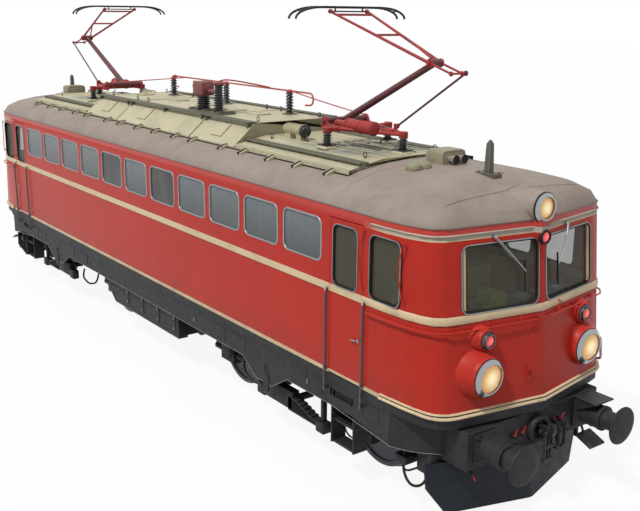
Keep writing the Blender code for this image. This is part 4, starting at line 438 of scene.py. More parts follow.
def roof_paint():
    """Dusty warm grey with darker soot in patches, rain marks down the slope, and fine sheet seams."""
    f = Finish("roof_enamel", 0.62)
    grey = f.mottled((148, 134, 123), (0.9, 5.0, 0.16), (16.0, 5.0, 0.10))
    grey = f.mixed(f.patches(1.7, 6.0, 0.40, 0.72, 0.45, 0.7), grey, (112, 101, 92))
    grey = f.mixed(f.patches(5.0, 5.0, 0.55, 0.8, 0.25, 0.7, (1.0, 0.12, 0.12)), grey, (122, 108, 96))
    along = f.size(f.x)
    seams = f.larger(f.band(along, 6.944, 6.956, 0.003), f.band(along, 5.444, 5.454, 0.003))
    seams = f.scaled(seams, f.between(f.height, RAIL + 3.76, RAIL + 3.82))
    grey = f.mixed(f.scaled(seams, 0.75), grey, (66, 58, 52))
    red = f.mottled((182, 48, 38), (8.0, 4.0, 0.10))
    band, gutter = f.level_band(3.512, 3.588), f.level_band(3.40, 3.511)
    gutter_tone = f.mixed(f.between(along, 6.0, 6.5), red, f.mottled((176, 166, 150), (12.0, 3.0, 0.14)))
    tone = f.mixed(gutter, f.mixed(band, grey, red), gutter_tone)
    rough = f.maths("SUBTRACT", 0.68, f.scaled(band, 0.3))
    return f.done(tone, rough, f.relief(seams, -0.004, f.relief(f.noise(70.0, 3.0), 0.001)))


def hatch_paint(name="hatch_enamel", planked=False):
    """Yellowed cream with grey wash and rust-brown spots; where it is planked, plank joints and a painted
    blue-grey shadow under the pantograph's arms.
    """
    f = Finish(name, 0.55)
    cream = f.mottled((185, 177, 146), (1.8, 5.0, 0.16), (20.0, 4.0, 0.12))
    cream = f.mixed(f.patches(2.4, 6.0, 0.42, 0.75, 0.5, 0.7, (1, 0.5, 1)), cream, (150, 146, 118))
    cream = f.mixed(f.patches(12.0, 5.0, 0.64, 0.75, 0.5, 0.7), cream, (106, 92, 66))
    bump = f.relief(f.noise(60.0, 3.0), 0.001)
    if planked:
        plank = f.maths("PINGPONG", f.maths("ADD", f.y, 3.0), 0.0875)
        joint = f.between(plank, 0.010, 0.003)
        cream = f.mixed(f.scaled(joint, 0.55), cream, (110, 104, 80))
        bump = f.relief(joint, -0.006, bump)
        # Painted shadow: blue-grey clouds under the pantograph's arms, strongest within 0.35 m of X ±4.25
        # and near the middle.
        along = f.size(f.maths("SUBTRACT", f.size(f.x), 4.25))
        painted_arm_shadow = f.scaled(f.between(along, 0.95, 0.35), f.patches(4.0, 6.0, 0.30, 0.62, roughness=0.7))
        painted_arm_shadow = f.scaled(painted_arm_shadow, f.between(f.size(f.y), 0.80, 0.55))
        cream = f.mixed(f.scaled(painted_arm_shadow, 0.75), cream, (98, 108, 106))
    return f.done(cream, f.scaled(f.noise(9.0), 0.3, 0.4), bump)


def gear_paint(name, colour, dust=(92, 78, 66), share=0.4, roughness=0.55):
    """Charcoal paint under brake dust, which lies thicker low down, with oily darker patches."""
    f = Finish(name, roughness, Specular_IOR_Level=0.22)
    tone = f.mottled(colour, (2.2, 5.0, 0.35), (26.0, 4.0, 0.22))
    low = f.scaled(f.between(f.height, 1.5, 0.2), 0.5, 0.5)
    clouds = f.patches(3.4, 7.0, 0.38, 0.74, roughness=0.75)
    tone = f.mixed(f.scaled(f.scaled(clouds, low), share), tone, dust)
    tone = f.mixed(f.patches(5.5, 4.0, 0.60, 0.70, 0.4), tone, (18, 18, 19))
    rough = f.scaled(f.noise(11.0, 4.0), 0.4, roughness - 0.2)
    return f.done(tone, rough, f.relief(f.noise(75.0, 4.0), 0.0012))


def bare_metal(name, colour, roughness=0.25, stain=0.3, stain_colour=(96, 84, 72)):
    """Metal with fine scratches in its roughness and stains in patches."""
    f = Finish(name, roughness, 1.0)
    stained = f.patches(7.0, 6.0, 0.5, 0.8, stain, 0.7)
    tone = f.mixed(stained, f.mottled(colour, (30.0, 3.0, 0.10)), stain_colour)
    rough = f.scaled(f.noise(40.0, 4.0, (1, 1, 0.2)), 0.25, roughness - 0.08)
    return f.done(tone, rough, f.relief(f.noise(120.0, 2.0), 0.0003))


def wheel_steel():
    """Worn grey steel, browner on the hub, which is told by its distance from the middle."""
    f = Finish("wheel_steel", 0.4, 0.7)
    tone = f.mottled((66, 68, 72), (4.0, 6.0, 0.25), (30.0, 4.0, 0.2))
    tone = f.mixed(f.scaled(f.between(f.size(f.y), 0.83, 0.85), 0.6), tone, (54, 50, 47))
    return f.done(tone, 0.45, f.relief(f.noise(60.0, 4.0), 0.001))


def window_glass(name, tint, alpha):
    """Thin dark glass that lets part of the light through, with a film of dirt in its roughness."""
    f = Finish(name, 0.06, Alpha=alpha, IOR=1.4)
    smear = f.patches(2.5, 6.0, 0.45, 0.8, roughness=0.7, stretch=(1, 1, 0.4))
    tone = f.mixed(f.scaled(smear, 0.35), tint, (128, 128, 118))
    return f.done(tone, f.scaled(smear, 0.12, 0.03))


def frosted_pane():
    """Frosted blue-grey glass with upright streaks of dust, lighter towards its top."""
    f = Finish("frosted_glass", 0.22, Specular_IOR_Level=0.25, Coat_Weight=0.12, Coat_Roughness=0.05)
    tone = f.mixed(f.between(f.height, RAIL + 2.80, RAIL + 3.42), (80, 86, 88), (108, 115, 117))
    streaks = f.noise(26.0, 5.0, (1, 1, 0.05), 0.75)
    tone = f.mottled(f.shaded(tone, streaks, 0.30), (2.0, 3.0, 0.15))
    tone = f.mixed(f.patches(5.0, 6.0, 0.55, 0.8, 0.4, stretch=(1, 1, 0.3)), tone, (84, 80, 70))
    return f.done(tone, f.scaled(streaks, 0.3, 0.1))


def glowing_lens(name, middle, rim, strength):
    """A lit lens, brightest in its middle. Its map's V runs from its middle to its rim."""
    f = Finish(name, 0.12, Coat_Weight=1.0, Coat_Roughness=0.03)
    out = f.tree.nodes.new("ShaderNodeUVMap").outputs[0]
    share = f.node("ShaderNodeSeparateXYZ", Vector=out).outputs["Y"]
    tone = f.mixed(f.between(share, 0.05, 0.95), middle, rim)
    f.feed(f.shader.inputs["Emission Color"], tone)
    f.shader.inputs["Emission Strength"].default_value = strength
    return f.done(tone)


def ceramic():
    """Near-black glazed insulator ware with dust on it."""
    f = Finish("ceramic", 0.25, Coat_Weight=0.4)
    dust = f.patches(7.0, 6.0, 0.45, 0.8, 0.4, 0.7)
    tone = f.mixed(dust, f.mottled((40, 42, 44), (12.0, 4.0, 0.3)), (94, 86, 78))
    return f.done(tone, f.scaled(dust, 0.6, 0.2))


def tread_plate():
    """Charcoal plate with raised diamonds, made by two waves across each other."""
    f = Finish("tread_plate", 0.5, 0.3)
    first, second = f.scaled(f.x, 70.0), f.scaled(f.y, 70.0)
    waves = [f.maths("SINE", f.maths(way, first, second)) for way in ("ADD", "SUBTRACT")]
    raised = f.between(f.scaled(*waves), 0.1, 0.6)
    tone = f.mottled(f.mixed(raised, (30, 30, 31), (78, 77, 76)), (14.0, 3.0, 0.25))
    return f.done(tone, 0.5, f.relief(raised, 0.004))


def cloth(name, colour):
    """Woven cloth: fine crossed threads in the bump and worn lighter clouds."""
    f = Finish(name, 0.9, Sheen_Weight=0.3)
    ways = (f.maths("ADD", f.x, f.height), f.y)
    threads = f.scaled(*[f.maths("SINE", f.scaled(way, 900.0)) for way in ways])
    tone = f.mottled(colour, (5.0, 4.0, 0.2), (60.0, 3.0, 0.12))
    return f.done(tone, 0.9, f.relief(threads, 0.0008))


FINISHES = {
    "body": body_paint(),
    "roof": roof_paint(),
    "hatch": hatch_paint(),
    "planks": hatch_paint("plank_enamel", True),
    "cream": paint("cream_enamel", (217, 193, 155), 0.4, (120, 100, 80), 0.3),
    "red": paint("red_enamel", (184, 49, 38), 0.38, (92, 52, 44), 0.3, Specular_IOR_Level=0.16),
    "charcoal": gear_paint("charcoal_enamel", (42, 43, 46), share=0.28),
    "under": gear_paint("underfloor_enamel", (32, 33, 36)),
    "plough": gear_paint("plough_enamel", (24, 30, 39), (66, 62, 58), 0.15, 0.5),
    "black": gear_paint("black_rubber", (24, 24, 25), (70, 64, 58), 0.3, 0.6),
    "wheel": wheel_steel(),
    "chrome": bare_metal("chrome", (160, 163, 166), 0.18, 0.25),
    "silver": bare_metal("silver", (150, 154, 156), 0.38, 0.35),
    "glass": window_glass("cab_glass", (104, 102, 86), 0.28),
    # The dark panes are opaque: painted shade in place of the view through the glass.
    "painted_shade_pane": window_glass("painted_shade_pane", (44, 43, 42), 1.0),
    "frosted": frosted_pane(),
    "lamp": glowing_lens("lamp_lens", (255, 236, 178), (206, 146, 66), 0.50),
    "tail": glowing_lens("tail_lens", (255, 84, 66), (190, 6, 6), 0.6),
    "panto": paint(
        "pantograph_enamel", (158, 52, 50), 0.45, (66, 30, 30), 0.6, 3.0, Specular_IOR_Level=0.3),
    "maroon": paint("maroon_enamel", (96, 44, 48), 0.45, (44, 26, 28), 0.5, 3.0),
    "busbar": paint("busbar_enamel", (176, 66, 58), 0.45, (80, 40, 36), 0.4, 3.0),
    "breaker": paint("breaker_enamel", (122, 66, 58), 0.5, (70, 62, 52), 0.6, 3.0),
    "ceramic": ceramic(),
    "bow": gear_paint("collector_black", (38, 38, 40), (84, 78, 74), 0.3, 0.4),
    "walkway": paint("walkway_enamel", (94, 92, 76), 0.6, (72, 68, 56), 0.6, 3.0),
    "olive": paint("olive_enamel", (140, 138, 108), 0.55, (84, 80, 62), 0.5, 3.0),
    "tread": tread_plate(),
    "gutter": paint("gutter_enamel", (182, 170, 150), 0.5, (110, 100, 88), 0.4, 3.0),
    "antenna": paint("antenna_enamel", (84, 79, 74), 0.55, (60, 56, 52), 0.4, 3.0),
    "roof_dark": paint("roof_edge_enamel", (112, 104, 96), 0.6, (76, 70, 62), 0.4, 3.0),
    "rail": bare_metal("rail_steel", (92, 94, 98), 0.35, 0.5, (70, 62, 54)),
    "hook": gear_paint("hook_steel", (40, 38, 37), (88, 70, 56), 0.45, 0.45),
    "edge": gear_paint("edge_enamel", (128, 124, 116), (84, 76, 66), 0.4, 0.5),
    "cab": paint("cab_enamel", (150, 146, 118), 0.6, (90, 86, 70), 0.3, 2.0),
    "cab_dark": paint("desk_enamel", (62, 66, 64), 0.5, (50, 48, 44), 0.3, 2.0),
    "olive_cloth": cloth("olive_cloth", (172, 188, 84)),
    "transformer": paint("transformer_enamel", (120, 122, 120), 0.5),
}

# The part's material slot that each finish stands for, unless a piece names another
SLOTS = {
    "body_paint": ("cream", "red"),
    "roof_paint": ("olive", "gutter", "antenna", "roof_dark"),
    "hatch_paint": ("hatch", "planks", "walkway"),
    "frame_paint": ("charcoal", "under", "plough", "black", "bow", "tread", "edge"),
    "coupling_steel": ("chrome", "silver", "rail", "hook"),
    "window_glass": ("painted_shade_pane", "frosted"),
    "breaker_metal": ("ceramic", "breaker"),
    "pantograph_paint": ("panto", "maroon"),
    "busbar_paint": ("busbar",),
    "wheel_steel": ("wheel",),
    "cab_paint": ("cab", "cab_dark", "olive_cloth"),
}
SLOT_OF = {finish: slot for slot, finishes in SLOTS.items() for finish in finishes}


def made(name, forms, finish, body="root", replaces=(), slot=None):
    """One piece: its forms joined and lifted into the frame, faces turned outwards, smooth but for
    its sharp edges."""
    points, faces, start = [], [], 0
    for form_points, form_faces in forms:
        points.append(form_points)
        faces += [[start + i for i in face] for face in form_faces]
        start += len(form_points)
    mesh = bpy.data.meshes.new(name)
    mesh.from_pydata((np.concatenate(points) + (0, 0, RAIL)).tolist(), [], faces)
    work = bmesh.new()
    work.from_mesh(mesh)
    bmesh.ops.recalc_face_normals(work, faces=work.faces)
    work.to_mesh(mesh)
    work.free()
    mesh.shade_smooth()
    mesh.set_sharp_from_angle(angle=SHARP)
    mesh.materials.append(FINISHES[finish])
    piece = bpy.data.objects.new(name, mesh)
    bpy.context.scene.collection.objects.link(piece)
    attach(piece, body)
    if replaces:
        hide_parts(*replaces)
    slot = slot or SLOT_OF.get(finish)
    return piece


def give(names, finish):
    """A finish for frame nodes that stay. Their triangles come loose, so they are welded, shaded
    smooth and split at sharp edges."""
    for name in names:
        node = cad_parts[name]
        node.data.materials.clear()
        node.data.materials.append(FINISHES[finish])
        node.modifiers.new("Weld", "WELD").merge_threshold = 0.0001
        node.modifiers.new("Sharp edges", "EDGE_SPLIT").split_angle = SHARP
        node.data.shade_smooth()


def both(pattern, *sides):
    """Node names of both ends, and of both sides where the pattern asks for a side."""
    return [pattern.format(end=end, side=side) for end, s in ENDS for side in (sides or ("",))]


give(["side_wall_left", "side_wall_right"] + both("door_{end}_{side}", "left", "right"), "body")
give(both("cab_shell_{end}"), "body")
give(["roof"], "roof")
give(["hatch_middle", "hatch_middle_front", "hatch_middle_rear"], "hatch")
give(["hatch_front", "hatch_rear"], "planks")
give(["underframe", "skirt_left", "skirt_right"], "charcoal")
give(["equipment_case", "air_reservoir"] + both("bogie_frame_{end}"), "under")
for kind in ("windscreen", "cab_window", "door_window"):
    give(both(kind + "_{end}_{side}", "left", "right"), "glass")
give(both("cab_interior_{end}"), "cab")
give(["transformer"], "transformer")


# The nose


def nose_x(y, height):
    """Where the nose's face lies at a distance from its middle, at a height."""
    return NOSE_APEX_X - NOSE_SLOPE * np.abs(y) - NOSE_LEAN * (height - BODY_BOTTOM)


def nose_plan(height, rear_x, steps=8):
    """Half of the body's outline at a height: a straight side, a slight inward bend, a parabola
    round the corner, then the straight half of the V as far as its front point."""
    lean = (height - BODY_BOTTOM) * NOSE_LEAN
    t = np.linspace(0, 1, steps + 1)[:, None]
    start, pull = np.array(CORNER_START) - (lean, 0), np.array(CORNER_PULL) - (lean, 0)
    end = np.array([nose_x(NOSE_FACE_Y, height), NOSE_FACE_Y])
    corner = (1 - t) ** 2 * start + 2 * t * (1 - t) * pull + t**2 * end
    side = [(rear_x, HALF_WIDTH), (FLANK_START_X, HALF_WIDTH), (FLANK_MID[0] - lean / 2, FLANK_MID[1])]
    return np.concatenate([side, corner, [(nose_x(0.0, height), 0.0)]])


def nose_bead(section, rear_x):
    """A closed section of (outward, height) carried right round the nose's outline."""
    rings = []
    for outward, height in section:
        half = nose_plan(height, rear_x)
        half = np.concatenate([half, (half * (1, -1))[-2::-1]])
        ahead = directions(half)
        rings.append(level(half + np.column_stack([-ahead[:, 1], ahead[:, 0]]) * outward, height))
    return lofted(np.swapaxes(np.array(rings), 0, 1))


def nose_place(y_sign, y, height):
    """Sets (away from the middle, up, out) down on one flat half of the nose, from a point on it."""
    across = np.array([-NOSE_SLOPE, y_sign, 0])
    outward = np.cross(across, (-NOSE_LEAN, 0, 1)) * y_sign
    across, outward = across / np.linalg.norm(across), outward / np.linalg.norm(outward)
    upward = np.cross(outward, across) * y_sign
    centre = np.array([nose_x(y, height), y * y_sign, height])

    def place(a, b, depth):
        a, b, depth = (np.asarray(value, float)[..., None] for value in (a, b, depth))
        return centre + across * a + upward * b + outward * depth

    return place


def side_place(y_sign, sunk=0.0):
    """Sets (along X, height, outward) down on a side wall, or so far inside it."""

    def place(a, b, depth):
        a, b, depth = np.broadcast_arrays(a, b, depth)
        return np.stack([a, (HALF_WIDTH + depth - sunk) * y_sign, b], -1)

    return place


def lamp_pod(y, height, radius, front_x, spread):
    """A lamp housing: circles that shrink and slide from a wide foot on the nose to a round rim,
    with a quarter turn at the rim."""
    angle = np.arange(ROUND) * math.tau / ROUND
    grown = radius * (spread - 1)
    rings = []
    for share in np.linspace(0, 1, 7):
        swell = (1 - share) ** 0.85
        size = radius * (1 + (spread - 1) * swell) + 0.002
        across = y + math.copysign(grown, y) * (1 - share) + size * np.cos(angle)
        rise = height + grown / 2 * (1 - share) + size * np.sin(angle)
        foot = nose_x(across, rise) - 0.03
        rings.append(np.column_stack([foot + (front_x - POD_RIM - foot) * share, across, rise]))
    for turn in np.linspace(0.3, math.pi / 2, 5):
        size = radius + 0.002 - POD_RIM * (1 - math.cos(turn))
        x = np.full(ROUND, front_x - POD_RIM * (1 - math.sin(turn)) + 0.001)
        rings.append(np.column_stack([x, y + size * np.cos(angle), height + size * np.sin(angle)]))
    return lofted(rings)


def lamp_rim(centre, outer, inner):
    """A rim with a wide bevel towards its lens."""
    section = [(-0.012, outer), (0.004, outer + 0.002), (0.010, outer - 0.002), (0.014, outer - 0.008),
               (0.042, inner + 0.020), (0.046, inner + 0.010), (0.040, inner + 0.002), (-0.012, inner)]
    return hoop(section, centre, "X")


def gap_shade_ring(centre, radius):
    """A black ring between a housing and its rim: painted shade in the gap."""
    outer, inner = radius + 0.008, radius - 0.01
    return hoop([(-0.010, outer), (0.004, outer), (0.004, inner), (-0.010, inner)], centre, "X")


def lens(name, places, rise, finish, x_sign):
    """Domed glasses: a quarter of an ellipse turned round each lamp's axis. V runs from 0 in the
    middle to 1 at the rim."""
    turn = np.linspace(0, math.pi / 2 - 0.02, 9)
    forms = []
    for x, y, height, radius in places:
        dome = np.column_stack([rise * np.sin(turn), radius * np.cos(turn)])
        forms.append(turned(np.concatenate([[(-0.01, radius)], dome]), (x, y, height), "X", ROUND))
    mesh = made(name, at_end(forms, x_sign), finish).data
    points = np.empty(len(mesh.vertices) * 3)
    mesh.vertices.foreach_get("co", points)
    lamps = np.array(places)
    away = points.reshape(-1, 1, 3)[..., 1:] - lamps[:, 1:3] - (0, RAIL)
    away = np.linalg.norm(away, axis=2) / lamps[:, 3]
    corners = np.empty(len(mesh.loops), int)
    mesh.loops.foreach_get("vertex_index", corners)
    v = np.clip(away.min(1), 0, 1)[corners]
    mesh.uv_layers.new(name="from_middle").uv.foreach_set("vector", np.column_stack([v * 0, v]).ravel())


# Sections of (outward, depth) round the windows
GASKET = [(-0.014, -0.028), (-0.014, 0.003), (-0.008, 0.009), (0.006, 0.009), (0.012, 0.003),
          (0.012, -0.026)]
GASKET_LINE = [(0.003, 0.000), (0.003, 0.012), (0.013, 0.011), (0.014, 0.000)]
SILVER_FRAME = [(-0.014, -0.020), (-0.014, 0.002), (-0.008, 0.008), (0.005, 0.008), (0.012, 0.002),
                (0.012, -0.018)]

# Sections of (outward, height) round the nose: the lip, the line over it and the belt
NOSE_BEADS = (
    ([(-0.004, 1.431), (0.030, 1.433), (0.036, 1.442), (0.034, 1.456), (0.022, 1.466), (-0.004, 1.470)],
     6.60),
    ([(-0.004, 1.484), (0.024, 1.485), (0.029, 1.492), (0.024, 1.500), (-0.004, 1.502)], 6.60),
    ([(-0.004, 2.513), (0.004, 2.517), (0.009, 2.530), (0.009, 2.590), (0.004, 2.604), (-0.004, 2.607)],
     CAB_REAR_X + 0.01),
)
NOSE_SEAM = [(-0.004, 1.471), (0.021, 1.472), (0.021, 1.483), (-0.004, 1.484)]


def make_lamps(end, s):
    """Housings, black rings painted as the shade in the gaps, rims and lenses of the lamps on one nose."""
    pods, gaps, rims, tail_rims, heads, tails = [], [], [], [], [], []
    # Each lamp, the spread of its housing's foot, its gap's radius, its rim's outer and inner radius,
    # how far its glass stands out, and the lists for its rims and glasses
    lamps = (
        (HEADLAMP, 1.25, 0.222, 0.222, 0.168, 0.020, rims, heads),
        (TAIL_LAMP, 1.3, 0.101, 0.098, 0.066, 0.028, tail_rims, tails),
        (TOP_LAMP, None, 0.176, 0.172, 0.126, 0.008, rims, heads),
    )
    for lamp, spread, gap, outer, inner, reach, own_rims, glasses in lamps:
        away, height, radius, front_x = lamp
        for y in sorted({-away, away}):
            if spread:
                pods.append(lamp_pod(y, height, radius, front_x, spread))
            # A black ring in the gap behind the rim: painted shade.
            gaps.append(gap_shade_ring((front_x, y, height), gap))
            own_rims.append(lamp_rim((front_x + 0.004, y, height), outer, inner))
            glasses.append((front_x + reach, y, height, inner + 0.002))
    marker = [(7.400, 0.088), (7.440, 0.086), (7.447, 0.076), (7.444, 0.064), (7.400, 0.062)]
    gaps.append(hoop(marker, (0, 0, MARKER_HEIGHT), "X"))
    tails.append((7.425, 0, MARKER_HEIGHT, 0.065))
    wedge = []
    for height, half, front_x in (
            (3.08, 0.028, 7.404), (3.18, 0.045, 7.409), (3.37, 0.052, 7.414), (3.43, 0.115, 7.408),
            (3.56, 0.155, 7.392)):
        back = nose_x(half, height) - 0.03
        wedge.append([(back, half, height), (front_x, half * 0.25, height),
                      (front_x, -half * 0.25, height), (back, -half, height)])
    pods.append(lofted(wedge))
    made(f"lamp_pods_{end}", at_end(pods, s), "red")
    made(f"lamp_gaps_{end}", at_end(gaps, s), "black")
    made(f"lamp_rims_{end}", at_end(rims, s), "chrome")
    made(f"tail_lamp_rims_{end}", at_end(tail_rims, s), "rail")
    lens(f"headlamp_lenses_{end}", heads, 0.030, "lamp", s)
    lens(f"red_lamp_lenses_{end}", tails, 0.020, "tail", s)


def make_windscreens(end, s):
    """Gaskets with their bright lines round the windscreens, and a cream post beside each."""
    gaskets, lines, trims = [], [], []
    half_height = (WINDOW_HIGH - WINDOW_LOW) / 2
    half = np.array([WINDSCREEN_HALF_WIDTH, half_height])
    outline = round_rectangle(-half, half, WINDOW_CORNER, 9)
    post = round_rectangle((half[0] - 0.05, 0.02 - half_height), (half[0] - 0.012, half_height - 0.02),
                           0.012, 3)
    for y_sign in SIGNS:
        place = nose_place(y_sign, WINDSCREEN_MIDDLE_Y, (WINDOW_LOW + WINDOW_HIGH) / 2)
        gaskets.append(moulding(outline, GASKET, place))
        lines.append(moulding(outline, GASKET_LINE, place))
        trims.append(plate(post, -0.026, -0.004, place))
    made(f"windscreen_gaskets_{end}", at_end(gaskets, s), "black")
    made(f"windscreen_lines_{end}", at_end(lines, s), "silver")
    made(f"windscreen_trim_{end}", at_end(trims, s), "cream")


def make_wipers(end, s):
    """A wiper on each windscreen: a pivot on the gutter, a slanting arm and a hanging blade."""
    arms, blades, pivots = [], [], []
    stretch = np.array([math.hypot(1, NOSE_SLOPE), math.hypot(1, NOSE_LEAN)])
    for y_sign, pivot_y, tip_y in ((-1, 0.716, 0.30), (1, 0.552, 0.32)):
        place = nose_place(y_sign, 0, BODY_BOTTOM)
        foot = np.array([pivot_y, 3.455 - BODY_BOTTOM]) * stretch
        top = np.array([tip_y, 3.02 - BODY_BOTTOM]) * stretch
        along = np.linspace(foot, top, 6).T
        arms.append(pipe(place(*along, [0.035, 0.05, 0.052, 0.05, 0.046, 0.04]), 0.008, 8))
        arms.append(pipe(place(along[0, :4] + 0.02, along[1, :4], [0.03, 0.042, 0.045, 0.045]), 0.004, 6))
        blade = np.linspace(top[1] + 0.13, top[1] - 0.25, 6)
        blades.append(pipe(place(np.full(6, top[0]), blade, np.full(6, 0.026)), 0.008, 8))
        edge = np.array([(-0.003, -0.25), (0.003, -0.25), (0.003, 0.13), (-0.003, 0.13)])
        blades.append(plate(edge + top, 0.012, 0.024, place))
        pivots.append(turned([(-0.03, 0.026), (0.035, 0.026), (0.05, 0.014)], place(*foot, 0.0), "X",
                             SMALL))
    made(f"wiper_arms_{end}", at_end(arms, s), "silver")
    made(f"wiper_blades_{end}", at_end(blades, s), "black")
    made(f"wiper_pivots_{end}", at_end(pivots, s), "silver")


def make_nose_fittings(end, s):
    """Beads round the nose, lamp irons and the corner's handle."""
    made(f"nose_beads_{end}", at_end([nose_bead(*bead) for bead in NOSE_BEADS], s), "cream")
    made(f"nose_bead_seam_{end}", at_end([nose_bead(NOSE_SEAM, 6.60)], s), "plough")
    irons = []
    for y, low, high in ((0.12, 2.30, 2.49), (0.22, 1.70, 1.86)):
        place = nose_place(-1, y, (low + high) / 2)
        half = (high - low) / 2
        irons.append(plate(round_rectangle((-0.03, -half), (0.03, half), 0.008, 3), -0.004, 0.012, place))
        hook = np.array([(-half * 0.2, 0.008), (half * 0.5, 0.020), (half * 0.9, 0.038),
                         (half * 1.1, 0.044)])
        irons += [pipe(place(np.full(4, a), *hook.T), 0.007, 6) for a in (-0.018, 0.0, 0.018)]
    place = nose_place(1, 0.44, 2.44)
    irons.append(pipe(place([-0.13, -0.13, 0.13, 0.13], [0] * 4, [-0.01, 0.045, 0.045, -0.01]), 0.010))
    irons.append(pipe(place([-0.12, -0.12, 0.10], [0.0, 0.14, 0.0], [0.045, 0.02, 0.045]), 0.005))
    for y_sign, y in ((-1, 0.34), (1, 0.30), (-1, 0.80)):
        hook = nose_place(y_sign, y, 2.44)([0] * 4, [0.012, 0.030, 0.075, 0.080],
                                           [0.045, 0.038, 0.020, 0.004])
        irons.append(pipe(hook, 0.006, 6))
    made(f"lamp_irons_{end}", at_end(irons, s), "red")
    loop = [(7.10, 1.30, 1.56), (7.31, 1.375, 1.56), (7.335, 1.39, 1.57), (7.335, 1.392, 1.62),
            (7.315, 1.392, 1.80), (7.305, 1.39, 1.84), (7.28, 1.37, 1.85), (7.08, 1.30, 1.85)]
    made(f"corner_handle_{end}", at_end([pipe(softened(loop, 0.03), 0.0165)], s, s), "chrome")


# The sides


def window_row(inset):
    """The outlines of the blind windows' row, each narrowed by an inset all round."""
    middle = np.arange(SIDE_WINDOW_COUNT) - (SIDE_WINDOW_COUNT - 1) / 2
    outlines = []
    for x in middle * SIDE_WINDOW_PITCH:
        low, high = (x - SIDE_WINDOW_WIDTH / 2, SIDE_WINDOW_LOW), (x + SIDE_WINDOW_WIDTH / 2,
                                                                   SIDE_WINDOW_HIGH)
        outlines.append(round_rectangle(np.array(low) + inset, np.array(high) - inset, 0.10 - inset))
    return outlines


def make_side_windows(side, y_sign):
    """Silver frames, frosted panes, two opaque dark panes painted as the shade seen through the glass, and
    the belt's bead along one side.
    """
    place = side_place(y_sign)
    frames = [moulding(outline, SILVER_FRAME, place) for outline in window_row(0.004)]
    made(f"side_window_frames_{side}", frames, "silver")
    panes = [plate(outline, -0.0215, -0.012, place) for outline in window_row(0.001)]
    frosted = [pane for k, pane in enumerate(panes) if k not in DARK_WINDOWS]
    made(f"frosted_panes_{side}", frosted, "frosted")
    made(f"painted_shade_panes_{side}", [panes[k] for k in DARK_WINDOWS], "painted_shade_pane")
    belt = [(-5.41, 2.515), (5.41, 2.515), (5.41, 2.605), (-5.41, 2.605)]
    made(f"belt_bead_{side}", [plate(belt, -0.002, 0.004, place)], "cream")


def make_cab_side(end, s, side, y_sign):
    """Frames of a cab's side window and its door's window, the door's handle, and the handrails."""
    tag = f"{end}_{side}"
    place = side_place(y_sign)
    for kind, (low_x, high_x), body, sinks in (
            ("cab_window", CAB_WINDOW_X, "root", (0.008, 0.006)),
            ("door_window", DOOR_WINDOW_X, f"door_{tag}", (0.0, 0.0))):
        window = round_rectangle((low_x, WINDOW_LOW), (high_x, WINDOW_HIGH), WINDOW_CORNER, 9)
        for part, section, finish, sunk in zip(
                ("gasket", "line"), (GASKET, GASKET_LINE), ("black", "silver"), sinks):
            forms = at_end([moulding(window, section, side_place(y_sign, sunk))], s)
            made(f"{kind}_{part}_{tag}", forms, finish, body)

    def on_side(forms):
        """Forms of the front's left side, set down at this end and side."""
        return at_end(forms, s, y_sign)

    handle_y, height = HALF_WIDTH + 0.028, 2.02
    lever = [turned([(HALF_WIDTH, 0.026), (HALF_WIDTH + 0.006, 0.026)], (5.985, 0, height), "Y"),
             rod((5.985, HALF_WIDTH - 0.002, height), (5.985, handle_y, height), 0.009),
             pipe([(5.99, handle_y, height), (5.93, handle_y, height), (5.88, handle_y * 0.999, 2.012)],
                  [0.010, 0.009, 0.007])]
    made(f"door_handle_{tag}", on_side(lever), "chrome", f"door_{tag}")

    rails = []
    y, wall = HALF_WIDTH + 0.04, HALF_WIDTH - 0.01
    for x in (5.38, 6.11):
        bend = [(x, wall, 1.215), (x, y, 1.225), (x, y, 2.50), (x, wall, 2.56)]
        rails += [pipe(softened(bend, 0.05), 0.0145), rod((x, y, 1.188), (x, y, 1.25), 0.0165)]
        foot = [(HALF_WIDTH - 0.012, 0.022), (HALF_WIDTH + 0.008, 0.020), (y, 0.012)]
        rails += [turned(foot, (x, 0, height), "Y", SMALL) for height in (1.215, 1.48, 2.53)]
    made(f"door_rails_{tag}", on_side(rails), "rail")

    seams = [round_rectangle((x - 0.008, 1.50), (x + 0.008, 3.44), 0.003, 2) for x in (5.425, 6.053)]
    made(f"door_seams_{tag}", at_end([plate(seam, -0.03, -0.004, place) for seam in seams], s), "black")
    bracket = []
    for top, bend, foot in (((6.775, 3.38), (6.705, 3.12), (6.775, 2.74)),
                            ((6.085, 3.40), (6.015, 3.14), (6.075, 2.70))):
        path = np.array([top, top, bend, foot, foot]).T
        bracket.append(pipe(place(*path, [-0.012, 0.022, 0.042, 0.030, -0.012]), 0.0075, 8))
        bracket += bolts(place(*np.array([top, foot]).T, np.zeros(2)), "Y", 0.018, 0.008)
    made(f"mirror_bracket_{tag}", at_end(bracket, s), "red")


# The roof


def insulator(place, bottom, top, shed, core, sheds=6):
    """A ribbed post: a profile in which each shed rises slowly on top and undercuts below."""
    profile = [(bottom, core + 0.012)]
    pitch = (top - bottom) / sheds
    for k in range(sheds):
        z = bottom + pitch * k
        size = shed * (1 - 0.14 * k / sheds)
        steps = ((0.22, core), (0.38, size * 0.93), (0.46, size), (0.56, size * 0.96), (0.92, core))
        profile += [(z + pitch * share, radius) for share, radius in steps]
    return turned(profile + [(top, core + 0.006)], (*place, 0), "Z")


def pedestal(place, bottom, low_half, top_half, height):
    """A square foot: rounded squares, the upper one smaller."""
    rings = []
    for z, half in ((bottom - 0.004, low_half), (bottom + height * 0.2, low_half),
                    (bottom + height, top_half)):
        rings.append(level(round_panel(place, (half, half), 0.015), z))
    return lofted(rings)


